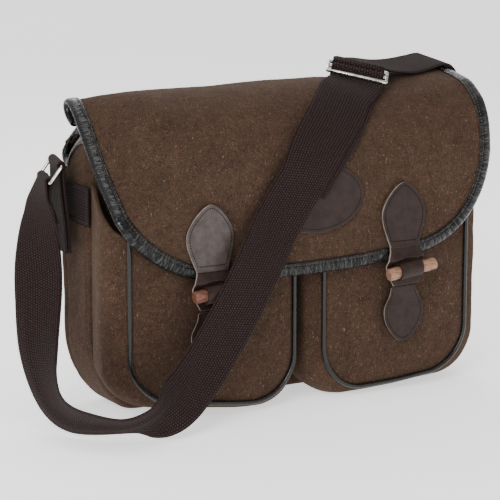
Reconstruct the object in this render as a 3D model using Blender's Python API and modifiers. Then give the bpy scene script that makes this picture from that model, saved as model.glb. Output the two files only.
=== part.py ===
"""Hunting game bag of wool felt with a full flap, two bellows pockets and a webbing strap.

Row frame: +X to the picture's right, -Y towards the front, +Z up.
The sizes below are in millimetres. They are laid out with y = 0 between the body and its pockets;
main() then slides every piece by BASE_SHIFT, so that the origin is the centre of the body's flat bottom.
"""
import math

import bmesh
import bpy
from mathutils import Matrix, Vector

MM = 0.001
GAP = 0.35
BASE_SHIFT = -30.5

# wool felt, webbing and leather thicknesses
WOOL = 3.0
BINDING = 1.2
LEATHER = 2.4
TAB_LEATHER = 2.0
WEBBING = 2.6

# body: rounded box sections, one row a level
BODY_HEIGHT = 269.0
BACK_HEIGHT = 276.0
MOUTH_LEG = 6.0
MOUTH_STAND = 0.9
REAR_DIP = 243.0
BODY_LEVELS = (
    # z, half_width, front_y, back_y, corner_radius
    (0.0, 156.0, 9.0, 52.0, 9.0),
    (1.5, 163.0, 5.5, 58.0, 9.0),
    (6.0, 171.0, 2.5, 62.0, 9.0),
    (14.0, 179.0, 1.0, 65.0, 9.0),
    (26.0, 188.0, 1.0, 66.5, 9.0),
    (44.0, 197.0, 1.0, 67.0, 9.0),
    (66.0, 202.0, 1.0, 67.5, 9.0),
    (100.0, 203.0, 1.0, 68.0, 9.0),
    (160.0, 203.5, 1.0, 68.0, 9.0),
    (205.0, 203.0, 1.0, 68.0, 9.0),
    (232.0, 201.5, 5.0, 67.0, 9.0),
    (246.0, 200.5, 9.0, 65.5, 7.5),
    (258.0, 199.5, 12.0, 57.5, 5.5),
    (266.0, 199.0, 14.0, 47.0, 5.0),
    (276.0, 198.5, 16.0, 36.0, 4.5),
)

# flap: side profiles of the cloth's middle, from the back hinge over the top to the front hem
FLAP_MIDDLE = (
    # y, z
    (34.5, 277.55), (40.0, 283.0), (44.5, 289.5), (44.5, 297.0), (36.0, 303.0), (20.0, 306.0),
    (0.0, 306.5), (-20.0, 303.0), (-37.0, 295.0), (-50.0, 284.0), (-59.5, 271.0), (-65.5, 258.0),
    (-69.0, 246.0), (-70.0, 236.0), (-70.0, 210.0), (-70.0, 184.0), (-70.0, 158.0), (-70.0, 133.0),
)
FLAP_LEFT = (
    # y, z
    (34.5, 279.0), (39.5, 282.0), (44.5, 287.0), (47.0, 293.5), (44.0, 298.5), (36.0, 297.0),
    (27.0, 291.0), (19.0, 283.0), (9.0, 272.0), (-2.0, 259.0), (-14.0, 245.0), (-28.0, 231.0),
    (-44.0, 217.0), (-57.0, 205.0), (-65.5, 193.0), (-69.5, 177.0), (-70.0, 156.0), (-70.0, 133.0),
)
FLAP_RIGHT = (
    # y, z
    (34.5, 279.0), (40.0, 283.0), (44.5, 290.0), (44.0, 299.0), (36.0, 306.0), (22.0, 308.5),
    (0.0, 305.0), (-20.0, 301.5), (-34.0, 298.0), (-45.0, 291.0), (-55.0, 282.0), (-62.0, 269.0),
    (-65.5, 254.0), (-67.0, 238.0), (-68.5, 216.0), (-70.0, 190.0), (-70.0, 160.0), (-70.0, 133.0),
)
FLAP_SIDE_BLEND = 62.0
FLAP_HALF_WIDTH = 204.0
# front hem outline: half width at each step down the profile, then the hem's own height
FLAP_TAPER = (
    # step, half_width
    (0.0, 201.0), (9.0, 203.5), (12.8, 204.0), (13.3, 203.4), (13.7, 202.0), (14.0, 200.2), (14.3, 197.8),
    (14.7, 193.3), (15.07, 187.2), (15.4, 180.0), (15.7, 171.5), (15.95, 162.5), (16.18, 152.5),
    (16.37, 142.0), (16.52, 131.0),
)
HEM_END = 131.0
HEM_STEP = 16.9
HEM_SAG = 0.38

# pockets: outline rings from the body outwards
POCKET_TOP = 182.0
POCKET_RINGS = (
    # y, inner_half_width, outer_half_width, bottom_z, corner_radius, outer_top_z
    (0.6, 97.5, 97.5, 4.0, 40.0, 226.0),
    (-14.0, 100.0, 102.5, 1.0, 42.0, 223.0),
    (-34.0, 101.5, 107.0, 0.0, 44.0, 207.0),
    (-46.0, 99.5, 103.5, 1.5, 46.0, 195.0),
)
POCKET_RIM = (
    # y, width over the face's half width, bottom_z, corner_radius, outer_top_z
    (-53.0, 8.5, 5.0, 46.0, 187.0),
    (-58.0, 0.0, 11.0, 44.0, POCKET_TOP),
)
POCKETS = (
    # name, side, centre_x, face_half_width
    ("left_pocket", -1.0, -103.5, 87.0),
    ("right_pocket", 1.0, 102.0, 81.5),
)
POCKET_LIFTS = {
    # x from the pocket's middle, how far its foot is drawn up there
    "left_pocket": ((-105.0, 20.0), (-58.0, 14.0), (0.0, 6.0), (44.0, 1.0), (105.0, 0.0)),
    "right_pocket": ((-105.0, 3.0), (-50.0, 0.0), (0.0, 1.0), (40.0, 4.0), (105.0, 7.0)),
}
POCKET_LIFT_HEIGHT = 130.0
POCKET_FACE = (
    # share of the outline, forward puff
    (0.97, 1.5), (0.86, 3.6), (0.6, 5.4), (0.3, 5.8),
)
PIPING_RADIUS = 2.2

# closures
LEFT_CLOSURE_X = -111.0
RIGHT_CLOSURE_X = 104.0
TOGGLE_Y = -83.2
TOGGLE_Z = 124.0
TOGGLE_RADIUS = 6.2
TOGGLE_LENGTH = 57.0
TOGGLE_TILT = 0.06
FLAP_TAB_OUTLINE = (
    # x, z from the toggle's middle
    (0.0, 89.0), (6.0, 86.5), (12.0, 81.5), (18.0, 74.5), (22.5, 67.0), (24.6, 60.0), (24.4, 52.0),
    (22.0, 43.0), (18.8, 34.0), (17.0, 26.0), (17.4, 18.0), (20.0, 12.0), (21.8, 4.0), (22.0, -6.0),
    (19.5, -15.0), (13.0, -20.5), (4.0, -22.5),
)
FLAP_TAB_HOLE = (
    # x, z from the toggle's middle
    (0.0, 16.0), (9.0, 15.0), (14.2, 9.0), (15.4, 0.0), (15.4, -8.0), (12.5, -13.5), (6.0, -15.5),
)
POCKET_TAB_ROWS = (
    # along y, along z, half_width
    (-68.6, 53.0, 2.0), (-68.6, 55.0, 6.5), (-68.7, 59.0, 11.0), (-68.8, 65.0, 16.0), (-68.9, 73.0, 20.5),
    (-69.0, 81.0, 22.6), (-69.0, 89.0, 22.0), (-69.1, 97.0, 18.0), (-69.9, 104.0, 14.6), (-71.3, 109.0, 13.2),
    (-73.9, 113.3, 12.6), (-75.4, 117.8, 12.4),
)

# rings and tabs
RING_LENGTH = 54.5
RING_WIDTH = 19.0
RING_WIRE = 1.6
LEFT_RING_REAR = (-212.0, 62.0, 243.5)
LEFT_RING_FRONT = (-226.0, 10.0, 243.5)
RING_DROOP = math.radians(54.0)
SIDE_PATCH_SIZE = (62.0, 38.0)
TAB_WIDTH = 48.0
RING_FIT = 45.0

STRAP_WIDTH = 52.0
STRAP_EDGES = (
    # outer edge x, y, z, inner edge x, y, z: from the left ring round the front and up
    (-237.5, 64.0, 211.0, -238.0, 14.5, 209.0),
    (-248.0, 58.0, 190.0, -232.0, 10.0, 184.0),
    (-258.0, 50.0, 152.0, -229.0, 7.0, 153.0),
    (-262.0, 42.0, 115.0, -234.0, -2.0, 119.0),
    (-264.0, 30.0, 78.0, -246.0, -18.0, 82.0),
    (-262.0, 8.0, 44.0, -258.0, -42.0, 53.0),
    (-259.0, -18.0, 22.0, -262.0, -67.0, 42.0),
    (-250.0, -46.0, 11.0, -260.0, -90.0, 38.0),
    (-234.0, -69.0, 8.0, -248.0, -111.0, 36.0),
    (-211.0, -86.0, 8.0, -233.0, -125.0, 34.0),
    (-187.0, -97.0, 10.0, -218.0, -129.0, 39.0),
    (-162.0, -102.0, 15.0, -202.0, -118.0, 44.0),
    (-136.0, -100.0, 27.0, -182.0, -103.0, 51.0),
    (-115.0, -98.0, 44.0, -163.0, -98.0, 70.0),
    (-96.0, -96.0, 68.0, -144.0, -96.0, 93.0),
    (-71.0, -94.5, 103.0, -121.0, -94.5, 127.0),
    (-48.0, -91.0, 139.0, -99.0, -92.0, 162.0),
    (-21.0, -80.0, 176.0, -71.0, -80.5, 199.0),
    (4.0, -77.5, 213.0, -47.0, -77.5, 236.0),
    (29.0, -74.5, 249.0, -20.0, -68.0, 269.0),
    (52.0, -63.0, 272.0, 6.0, -54.0, 287.0),
    (76.0, -48.0, 291.0, 30.0, -34.0, 305.0),
)
SHORT_STRAP_RUN = (
    # centre x, y, z, outer edge x, y, z
    (101.0, 4.0, 320.0, 119.0, -14.0, 315.0),
    (114.0, 10.0, 317.5, 123.0, -14.0, 313.0),
    (131.0, 12.0, 314.5, 133.0, -14.0, 311.0),
    (151.0, 13.0, 313.0, 148.0, -12.0, 309.0),
    (172.0, 20.0, 314.0, 163.0, -3.0, 311.0),
    (192.0, 27.0, 315.0, 182.0, 4.0, 313.5),
    (208.0, 32.0, 313.0, 203.0, 7.0, 314.0),
    (219.0, 35.0, 301.0, 219.0, 10.0, 302.0),
    (222.5, 36.0, 284.0, 228.0, 11.0, 284.0),
)

SLIDER_PITCH = 10.5
SLIDER_BAR = 3.2
SLIDER_SLOT = 55.2
SLIDER_THREAD = (
    # along the strap, height over the slider's middle: up through, over the middle bar and back down
    (-19.0, -4.0), (-13.5, -3.4), (-9.5, -3.3), (-5.6, -2.2), (-3.6, 0.0), (-2.4, 2.4), (0.0, 3.3),
    (2.4, 2.3), (3.5, -0.4), (2.4, -3.8), (-1.5, -6.2), (-7.0, -6.9), (-13.0, -7.2),
)


def smooth(t):
    t = min(max(t, 0.0), 1.0)
    return t * t * (3.0 - 2.0 * t)


def table(rows, x, column=1):
    """Read a short table between its rows."""
    if x <= rows[0][0]:
        return rows[0][column]
    for low, high in zip(rows, rows[1:]):
        if x <= high[0]:
            share = (x - low[0]) / (high[0] - low[0])
            return low[column] + share * (high[column] - low[column])
    return rows[-1][column]


def catmull(points, steps):
    """Smooth curve through points, steps pieces to a span."""
    found = []
    for i in range(len(points) - 1):
        p1, p2 = Vector(points[i]), Vector(points[i + 1])
        p0 = Vector(points[i - 1]) if i else 2.0 * p1 - p2
        p3 = Vector(points[i + 2]) if i + 2 < len(points) else 2.0 * p2 - p1
        for k in range(steps):
            t = k / steps
            found.append(0.5 * (2.0 * p1 + (p2 - p0) * t + (2.0 * p0 - 5.0 * p1 + 4.0 * p2 - p3) * t * t
                                + (3.0 * p1 - p0 - 3.0 * p2 + p3) * t ** 3))
    found.append(Vector(points[-1]))
    return found


def material(name, color, roughness, metallic=0.0):
    made = bpy.data.materials.new(name)
    made.use_nodes = True
    shader = made.node_tree.nodes["Principled BSDF"]
    shader.inputs["Base Color"].default_value = (*color, 1.0)
    shader.inputs["Roughness"].default_value = roughness
    shader.inputs["Metallic"].default_value = metallic
    made.diffuse_color = (*color, 1.0)
    return made


def add_object(name, mesh, look):
    made = bpy.data.objects.new(name, mesh)
    mesh.materials.append(look)
    PIECES.objects.link(made)
    return made


def grid_object(name, rows, look, closed=False, thickness=0.0, offset=-1.0, cap_bottom=False, apex=None,
                even=True):
    """Mesh of a grid of points in millimetres, with an optional Solidify."""
    work = bmesh.new()
    verts = [[work.verts.new(Vector(p) * MM) for p in row] for row in rows]
    count = len(rows[0])
    span = count if closed else count - 1
    for low, high in zip(verts, verts[1:]):
        for i in range(span):
            j = (i + 1) % count
            work.faces.new((low[i], low[j], high[j], high[i]))
    if cap_bottom:
        work.faces.new(list(reversed(verts[0])))
    if apex is not None:
        tip = work.verts.new(Vector(apex) * MM)
        for i in range(span):
            work.faces.new((verts[-1][i], verts[-1][(i + 1) % count], tip))
    bmesh.ops.recalc_face_normals(work, faces=work.faces)
    mesh = bpy.data.meshes.new(name)
    work.to_mesh(mesh)
    work.free()
    for face in mesh.polygons:
        face.use_smooth = True
    made = add_object(name, mesh, look)
    if thickness:
        shell = made.modifiers.new("thickness", "SOLIDIFY")
        shell.thickness = thickness * MM
        shell.offset = offset
        shell.use_even_offset = even
    return made


def plate_object(name, outline, holes, thickness, matrix, look, bevel=0.4):
    """Flat plate from closed outlines in x, z, its thickness along y."""
    curve = bpy.data.curves.new(name, "CURVE")
    curve.dimensions = "2D"
    curve.fill_mode = "BOTH"
    curve.extrude = (thickness / 2.0 - bevel) * MM
    curve.bevel_depth = bevel * MM
    curve.bevel_resolution = 0
    curve.offset = -bevel * MM
    for loop in (outline, *holes):
        spline = curve.splines.new("POLY")
        spline.points.add(len(loop) - 1)
        for point, (x, z) in zip(spline.points, loop):
            point.co = (x * MM, z * MM, 0.0, 1.0)
        spline.use_cyclic_u = True
    made = bpy.data.objects.new(name, curve)
    curve.materials.append(look)
    PIECES.objects.link(made)
    stand = Matrix.Rotation(math.pi / 2.0, 4, "X")
    made.matrix_world = matrix @ stand


def tube_object(name, points, radius, look, cyclic=False):
    curve = bpy.data.curves.new(name, "CURVE")
    curve.dimensions = "3D"
    curve.bevel_depth = radius * MM
    curve.bevel_resolution = 1
    curve.use_fill_caps = not cyclic
    spline = curve.splines.new("POLY")
    spline.points.add(len(points) - 1)
    for point, place in zip(spline.points, points):
        point.co = (*(Vector(place) * MM), 1.0)
    spline.use_cyclic_u = cyclic
    made = bpy.data.objects.new(name, curve)
    curve.materials.append(look)
    PIECES.objects.link(made)


# the body

def body_ring(level):
    """Places round a rounded rectangle."""
    z, half, front, back, radius = level
    middle = (front + back) / 2.0
    depth = (back - front) / 2.0
    ring = []
    long_side = 8
    short_side = 3
    corner = 3
    edges = ((1, -1, "bottom"), (1, 1, "right"), (-1, 1, "top"), (-1, -1, "left"))
    for sx, sy, edge in edges:
        if edge in ("bottom", "top"):
            for i in range(long_side):
                t = -1.0 + 2.0 * (i + 0.5) / long_side
                x = (t if edge == "bottom" else -t) * (half - radius)
                ring.append((x, middle + sy * depth, z))
        else:
            for i in range(short_side):
                t = -1.0 + 2.0 * (i + 0.5) / short_side
                y = (t if edge == "right" else -t) * (depth - radius)
                ring.append((sx * half, middle + y, z))
        start = {"bottom": -90, "right": 0, "top": 90, "left": 180}[edge]
        centre_x = half - radius if edge in ("bottom", "right") else radius - half
        centre_y = middle + (radius - depth if edge in ("bottom", "left") else depth - radius)
        for i in range(corner):
            angle = math.radians(start + 90.0 * i / (corner - 1))
            ring.append((centre_x + radius * math.cos(angle), centre_y + radius * math.sin(angle), z))
    return ring


def rim_height(y, front, back):
    """Height of the mouth: high in front, dipping to the rear of each side, highest at the back."""
    depth = (y - front) / (back - front)
    side = BODY_HEIGHT - (BODY_HEIGHT - REAR_DIP) * min(depth / 0.66, 1.0) ** 3
    if depth < 0.7:
        return side
    return side + (BACK_HEIGHT - side) * min((depth - 0.7) / 0.3, 1.0) ** 2.6


def body_level(z):
    row = tuple(table(BODY_LEVELS, z, column) for column in range(1, 5))
    return (z, *row)


def body_rows():
    """Rows of the outer skin: each column climbs to its own rim height."""
    lower = [body_ring(level) for level in BODY_LEVELS if level[0] <= 205.0]
    top_ring = body_ring(body_level(232.0))
    front, back = 5.0, 67.0
    rims = [rim_height(y, front, back) for _, y, _ in top_ring]
    rows = [[Vector(p) for p in ring] for ring in lower]
    for share in (0.35, 0.65, 0.85, 1.0):
        row = []
        for i, rim in enumerate(rims):
            z = 205.0 + share * (rim - 205.0)
            row.append(Vector(body_ring(body_level(z))[i]))
        rows.append(row)
    return rows


def mouth_rows():
    """Gutter over the mouth's sides and front, from one back corner to the other."""
    rows = body_rows()
    rim, below = rows[-1], rows[-2]
    count = len(rim)
    order = list(range(count - 6, count)) + list(range(0, 14))
    found = []
    for i in order:
        place = rim[i]
        up = (place - below[i]).normalized()
        along = (rim[(i + 1) % count] - rim[i - 1]).normalized()
        out = along.cross(up).normalized()
        leg = up * MOUTH_LEG
        near = out * MOUTH_STAND
        far = out * (WOOL + MOUTH_STAND)
        crest = place + up * (2.0 * MOUTH_STAND / max(up.cross(along).length, 0.5))
        found.append([place - leg + near, place + near, crest - out * WOOL / 2.0, place - far,
                      place - leg - far])
    return found


# the flap

def flap_profile(x):
    """Side profile of the cloth's middle at x, blended towards the two ends."""
    left = smooth(1.0 - (x + FLAP_HALF_WIDTH) / FLAP_SIDE_BLEND)
    right = smooth(1.0 - (FLAP_HALF_WIDTH - x) / FLAP_SIDE_BLEND)
    rest = 1.0 - left - right
    points = []
    for a, b, c in zip(FLAP_LEFT, FLAP_MIDDLE, FLAP_RIGHT):
        points.append(Vector((left * a[0] + rest * b[0] + right * c[0],
                              left * a[1] + rest * b[1] + right * c[1])))
    return points


def flap_press(x, step):
    """How far the strap and its slider press the cloth down on the ridge."""
    return 6.0 * smooth(1.0 - abs(x - 112.0) / 62.0) * smooth(1.0 - abs(step - 6.0) / 3.6)


def flap_point(x, step):
    """Point of the flap's middle surface at x, step counting the profile's rows."""
    points = flap_profile(x)
    i = min(max(int(step), 0), len(points) - 2)
    t = step - i
    p1, p2 = points[i], points[i + 1]
    p0 = points[i - 1] if i else 2.0 * p1 - p2
    p3 = points[i + 2] if i + 2 < len(points) else 2.0 * p2 - p1
    if 0.0 <= t <= 1.0:
        found = 0.5 * (2.0 * p1 + (p2 - p0) * t + (2.0 * p0 - 5.0 * p1 + 4.0 * p2 - p3) * t * t
                       + (3.0 * p1 - p0 - 3.0 * p2 + p3) * t ** 3)
    else:
        found = p1 + (p2 - p1) * t
    return Vector((x, found.x, found.y - flap_press(x, step)))


def flap_normal(x, step):
    """Outward normal of the flap's middle surface."""
    a = flap_point(x - 1.0, step)
    b = flap_point(x + 1.0, step)
    c = flap_point(x, step - 0.05)
    d = flap_point(x, step + 0.05)
    return (d - c).cross(b - a).normalized()


def hem_step(x):
    """Step of the hem at x: lowest in the middle."""
    return HEM_STEP - HEM_SAG * (abs(x) / HEM_END) ** 2.2


SIDE_STEPS = (0.0, 0.6, 1.2, 1.8, 2.4, 3.0, 3.5, 4.0, 4.6, 5.3, 6.1, 7.0, 7.7, 8.4, 9.1, 10.0, 11.0,
              12.0, 12.8, 13.3, 13.7, 14.0, 14.3, 14.7, 15.07, 15.4, 15.7, 15.95, 16.18, 16.37)
HEM_PLACES = (-131.0, -108.0, -80.0, -50.0, -20.0, 0.0, 20.0, 50.0, 80.0, 108.0, 131.0)
BINDING_LEG = 9.0


def flap_rows():
    shares = (-1.0, -0.88, -0.76, -0.6, -0.4, -0.2, 0.0, 0.2, 0.4, 0.6, 0.76, 0.88, 1.0)
    rows = []
    for step in SIDE_STEPS:
        half = table(FLAP_TAPER, step)
        inner = half - BINDING_LEG
        places = [-half] + [share * inner for share in shares] + [half]
        rows.append([flap_point(x, step) for x in places])
    scale = HEM_PLACES[-1] / rows[-1][-1].x
    rows.append([flap_point(p.x * scale, hem_step(p.x * scale)) for p in rows[-1]])
    return rows


def flap_edge():
    """Stations round the flap's free edge from the left hinge to the right one, as x and step."""
    left = [(-table(FLAP_TAPER, step), step) for step in SIDE_STEPS]
    hem = [(x, hem_step(x)) for x in HEM_PLACES]
    return left + hem + [(-x, step) for x, step in reversed(left)]


def binding_rows():
    """Gutter section round each station of the flap's edge, its legs on the flap's own surface."""
    edge = flap_edge()
    reach = WOOL / 2.0 + GAP
    rows = []
    for i, (x, step) in enumerate(edge):
        before = edge[max(i - 1, 0)]
        after = edge[min(i + 1, len(edge) - 1)]
        here = min(step, 16.9)
        pitch = (flap_point(x, here + 0.05) - flap_point(x, here - 0.05)).length / 0.1
        turn = Vector((-(after[1] - before[1]) * pitch, after[0] - before[0])).normalized()
        if abs(x) > 200.0:
            turn = Vector((math.copysign(1.0, x), 0.0))

        def on_cloth(inset, side):
            at_x = x - turn.x * inset
            at_step = step - turn.y * inset / pitch
            return flap_point(at_x, at_step) + flap_normal(at_x, min(max(at_step, 0.1), 16.9)) * side

        rim = on_cloth(0.0, 0.0)
        outward = (rim - on_cloth(2.0, 0.0)).normalized()
        normal = flap_normal(x, min(max(step, 0.1), 16.9))
        rows.append([on_cloth(BINDING_LEG, reach), rim + outward * 0.4 + normal * reach,
                     rim + outward * (reach + 0.2), rim + outward * 0.4 - normal * reach,
                     on_cloth(BINDING_LEG, -reach)])
    return rows


# the pockets

def pocket_ring(name, y, halves, tops, bottom, radius, count=8):
    """Open U outline from the left top down, along the bottom and up to the right top."""
    def half_outline(half, top):
        found = [(half, z) for z in (top, 150.0, 116.0, 80.0)]
        for i in range(count):
            angle = math.radians(90.0 * i / (count - 1))
            found.append((half - radius + radius * math.cos(angle), bottom + radius - radius * math.sin(angle)))
        return found

    left = [(-x, z) for x, z in half_outline(halves[0], tops[0])]
    middle = [(x, bottom) for x in (-24.0, 0.0, 24.0)]
    outline = left + middle + list(reversed(half_outline(halves[1], tops[1])))
    found = []
    for x, z in outline:
        lift = table(POCKET_LIFTS[name], x) * (1.0 - smooth((z - bottom) / POCKET_LIFT_HEIGHT))
        found.append(Vector((x, y, z + lift)))
    return found


def pocket_rings(name, side, face_half):
    """Outlines of one pocket from the body out to its face."""
    found = []
    for y, inner, outer, bottom, radius, top in POCKET_RINGS:
        halves = (outer, inner) if side < 0.0 else (inner, outer)
        tops = (top, POCKET_TOP) if side < 0.0 else (POCKET_TOP, top)
        found.append(pocket_ring(name, y, halves, tops, bottom, radius))
    for y, wider, bottom, radius, top in POCKET_RIM:
        tops = (top, POCKET_TOP) if side < 0.0 else (POCKET_TOP, top)
        half = face_half + wider
        found.append(pocket_ring(name, y, (half, half), tops, bottom, radius))
    return found


def pocket_rows(name, side, face_half):
    rows = pocket_rings(name, side, face_half)
    last = rows[-1]
    for share, puff in POCKET_FACE:
        row = []
        for place in last:
            z = POCKET_TOP - (POCKET_TOP - place.z) * share
            y = place.y - puff * (0.45 + 0.55 * smooth((POCKET_TOP - z) / 90.0))
            row.append(Vector((place.x * share, y, z)))
        rows.append(row)
    return rows


def add_pocket(name, side, centre_x, face_half, look):
    rows = [[Vector((p.x + centre_x, p.y, p.z)) for p in row] for row in pocket_rows(name, side, face_half)]
    apex = (centre_x, POCKET_RIM[-1][0] - 2.6, POCKET_TOP)
    grid_object(name, rows, look, thickness=WOOL, offset=-1.0, apex=apex)


def add_piping(name, side, centre_x, face_half, look):
    """Piping along the seam between the pocket's gusset and its face."""
    ring = pocket_rings(name, side, face_half)[-1]
    out = (PIPING_RADIUS + 0.2) * 0.75
    places = []
    for i, place in enumerate(ring):
        before = ring[max(i - 1, 0)]
        after = ring[min(i + 1, len(ring) - 1)]
        along = (after - before).normalized()
        sideways = Vector((along.z, 0.0, -along.x))
        if sideways.dot(place - Vector((0.0, place.y, 110.0))) < 0.0:
            sideways = -sideways
        places.append(place + sideways * out + Vector((centre_x, -out, 0.0)))
    tube_object(f"{name}_piping", places, PIPING_RADIUS, look)


# closures

def mirror_outline(points):
    """Closed outline from the half on the right of the middle line."""
    right = list(points)
    left = [(-x, z) for x, z in reversed(points) if x > 0.0]
    return right + left


def add_closure(side, x, leather, wood):
    tilt = Matrix.Rotation(-TOGGLE_TILT, 4, "Y")
    lean = Matrix.Rotation(math.radians(-1.1), 4, "X")
    place = Matrix.Translation(Vector((x, -75.2, TOGGLE_Z)) * MM)
    plate_object(f"{side}_flap_tab", mirror_outline(FLAP_TAB_OUTLINE), (mirror_outline(FLAP_TAB_HOLE),),
                 LEATHER, place @ lean, leather)
    centre = Vector((x, TOGGLE_Y, TOGGLE_Z))
    half = TOGGLE_LENGTH / 2.0
    work = bmesh.new()
    shape = ((-half, 0.0), (-half, 4.4), (-half + 0.9, 5.6), (-half + 2.4, TOGGLE_RADIUS),
             (half - 2.4, TOGGLE_RADIUS), (half - 0.9, 5.6), (half, 4.4), (half, 0.0))
    verts = [work.verts.new(Vector((along * MM, 0.0, radius * MM))) for along, radius in shape]
    for a, b in zip(verts, verts[1:]):
        work.edges.new((a, b))
    bmesh.ops.spin(work, geom=work.verts[:] + work.edges[:], cent=(0, 0, 0), axis=(1, 0, 0),
                   angle=math.tau, steps=14, use_merge=True)
    bmesh.ops.remove_doubles(work, verts=work.verts[:], dist=1e-6)
    bmesh.ops.recalc_face_normals(work, faces=work.faces)
    mesh = bpy.data.meshes.new(f"{side}_toggle")
    work.to_mesh(mesh)
    work.free()
    mesh.transform(Matrix.Translation(centre * MM) @ tilt)
    for face in mesh.polygons:
        face.use_smooth = True
    add_object(f"{side}_toggle", mesh, wood)
    path = list(POCKET_TAB_ROWS)
    radius = TOGGLE_RADIUS + GAP + TAB_LEATHER / 2.0
    for i in range(17):
        angle = math.radians(-15.0 + 300.0 * i / 16.0)
        path.append((TOGGLE_Y + radius * math.cos(angle), TOGGLE_Z + radius * math.sin(angle), 12.4))
    rows = []
    for y, z, half_width in path:
        slope = TOGGLE_TILT * smooth((z - 95.0) / 20.0)
        rows.append([Vector((x + share * half_width, y, z + share * half_width * slope))
                     for share in (-1.0, 0.0, 1.0)])
    grid_object(f"{side}_pocket_tab", rows, leather, thickness=TAB_LEATHER, offset=0.0)


# rings, tabs and the strap

def add_ring(name, rear, front, bar, reach, look):
    corner = 2.4
    places = []
    centre = (rear + front) / 2.0 + reach * 0.5
    half_long = RING_LENGTH / 2.0
    half_wide = RING_WIDTH / 2.0
    away = reach.normalized()
    for long_sign, wide_sign in ((1, -1), (1, 1), (-1, 1), (-1, -1)):
        start = {(1, -1): -90, (1, 1): 0, (-1, 1): 90, (-1, -1): 180}[(long_sign, wide_sign)]
        for i in range(5):
            angle = math.radians(start + 22.5 * i)
            a = long_sign * (half_long - corner) + corner * math.cos(angle)
            b = wide_sign * (half_wide - corner) + corner * math.sin(angle)
            places.append(centre + bar * a + away * b)
    tube_object(name, places, RING_WIRE, look, cyclic=True)


def frames(centres, acrosses):
    """Stations with travel directions for a band."""
    stations = []
    for i, centre in enumerate(centres):
        before = centres[max(i - 1, 0)]
        after = centres[min(i + 1, len(centres) - 1)]
        travel = (after - before).normalized()
        across = acrosses[i] - travel * acrosses[i].dot(travel)
        stations.append((centre, across.normalized(), travel))
    return stations


def wrap(centre, u, v, radius, start, end, count):
    """Arc of centres round a bar, in the plane of u and v."""
    found = []
    for i in range(count):
        angle = math.radians(start + (end - start) * i / (count - 1))
        found.append(centre + u * (radius * math.cos(angle)) + v * (radius * math.sin(angle)))
    return found


def strap_rows(centres, acrosses, widths):
    """Rows of three places across a band."""
    rows = []
    for (centre, across, travel), width in zip(frames(centres, acrosses), widths):
        rows.append([centre - across * width / 2.0, centre, centre + across * width / 2.0])
    return rows


def add_ring_tab(side, rear, front, look):
    """Webbing folded over the ring's inner bar, its two ends running down the side of the bag."""
    sign = -1.0 if side == "left" else 1.0
    bar = (front - rear).normalized()
    out = Vector((-bar.y, bar.x, 0.0))
    out = out if out.x * sign > 0.0 else -out
    middle = (rear + front) / 2.0
    radius = RING_WIRE + GAP + WEBBING / 2.0
    up = Vector((0.0, 0.0, 1.0))
    half = (WEBBING + GAP) / 2.0 + 0.35
    drops = (84.0, 58.0, 32.0, 12.0, 6.0)
    centres = [middle - out * half - up * drop for drop in drops]
    centres += wrap(middle, out, up, radius, 200.0, -20.0, 9)
    centres += [middle + out * half - up * drop for drop in reversed(drops)]
    rows = strap_rows(centres, [bar] * len(centres), [TAB_WIDTH] * len(centres))
    for row in rows:
        for place, share in zip(row, (0.0, 0.5, 1.0)):
            place.x -= sign * 7.0 * share * smooth((middle.z - place.z) / 84.0)
    grid_object(f"{side}_ring_tab", rows, look, thickness=WEBBING, offset=0.0, even=False)


def add_side_patch(side, look):
    sign = -1.0 if side == "left" else 1.0
    long, high = SIDE_PATCH_SIZE
    x = sign * (203.5 + GAP + 0.9)
    outline = ((-long / 2, -high / 2), (long / 2, -high / 2), (long / 2, high / 2), (-long / 2, high / 2))
    turn = Matrix.Rotation(math.pi / 2.0, 4, "Z")
    place = Matrix.Translation(Vector((x, 28.0, 205.0)) * MM)
    plate_object(f"{side}_side_patch", outline, (), 1.8, place @ turn, look, bevel=0.3)


def slider_frame():
    """Centre and axes of the slider: along its bars, along the strap and outwards."""
    centre = Vector((83.0, -16.0, 315.0))
    across = Vector((0.82, -0.533, -0.209)).normalized()
    out = Vector((0.0, -0.36, 0.93))
    out = (out - across * out.dot(across)).normalized()
    travel = out.cross(across).normalized()
    return centre, across, travel, out


def add_slider(look):
    centre, across, travel, out = slider_frame()
    half_long = SLIDER_SLOT / 2.0 + SLIDER_BAR
    half_wide = SLIDER_PITCH + SLIDER_BAR / 2.0
    outline = ((-half_long + 1.5, -half_wide), (half_long - 1.5, -half_wide), (half_long, -half_wide + 1.5),
               (half_long, half_wide - 1.5), (half_long - 1.5, half_wide), (-half_long + 1.5, half_wide),
               (-half_long, half_wide - 1.5), (-half_long, -half_wide + 1.5))
    slot = SLIDER_SLOT / 2.0
    near = SLIDER_BAR / 2.0
    far = SLIDER_PITCH - SLIDER_BAR / 2.0
    holes = (((-slot, near), (slot, near), (slot, far), (-slot, far)),
             ((-slot, -far), (slot, -far), (slot, -near), (-slot, -near)))
    axes = Matrix((across, -out, travel)).transposed().to_4x4()
    place = Matrix.Translation(centre * MM) @ axes
    plate_object("strap_slider", outline, holes, SLIDER_BAR, place, look, bevel=0.9)


def drape(place, clearance):
    """Push a place out of the flap until it clears the cloth's middle surface."""
    x = max(-FLAP_HALF_WIDTH, min(FLAP_HALF_WIDTH, place.x))
    best = None
    for k in range(0, 66):
        step = k * 0.25
        near = flap_point(x, step)
        gap = (Vector((place.y, place.z)) - Vector((near.y, near.z))).length
        if best is None or gap < best[0]:
            best = (gap, step, near)
    normal = flap_normal(x, max(best[1], 0.1))
    height = (place - best[2]).dot(normal)
    if height < clearance:
        return place + normal * (clearance - height)
    return place


def row_normal(rows, i):
    """Outward normal of a band at row i, away from the bag."""
    normal = (rows[i][1] - rows[i - 1][1]).cross(rows[i][2] - rows[i][0]).normalized()
    away = Vector((-0.7, -0.5, 0.3))
    return normal if normal.dot(away) > 0.0 else -normal


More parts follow.
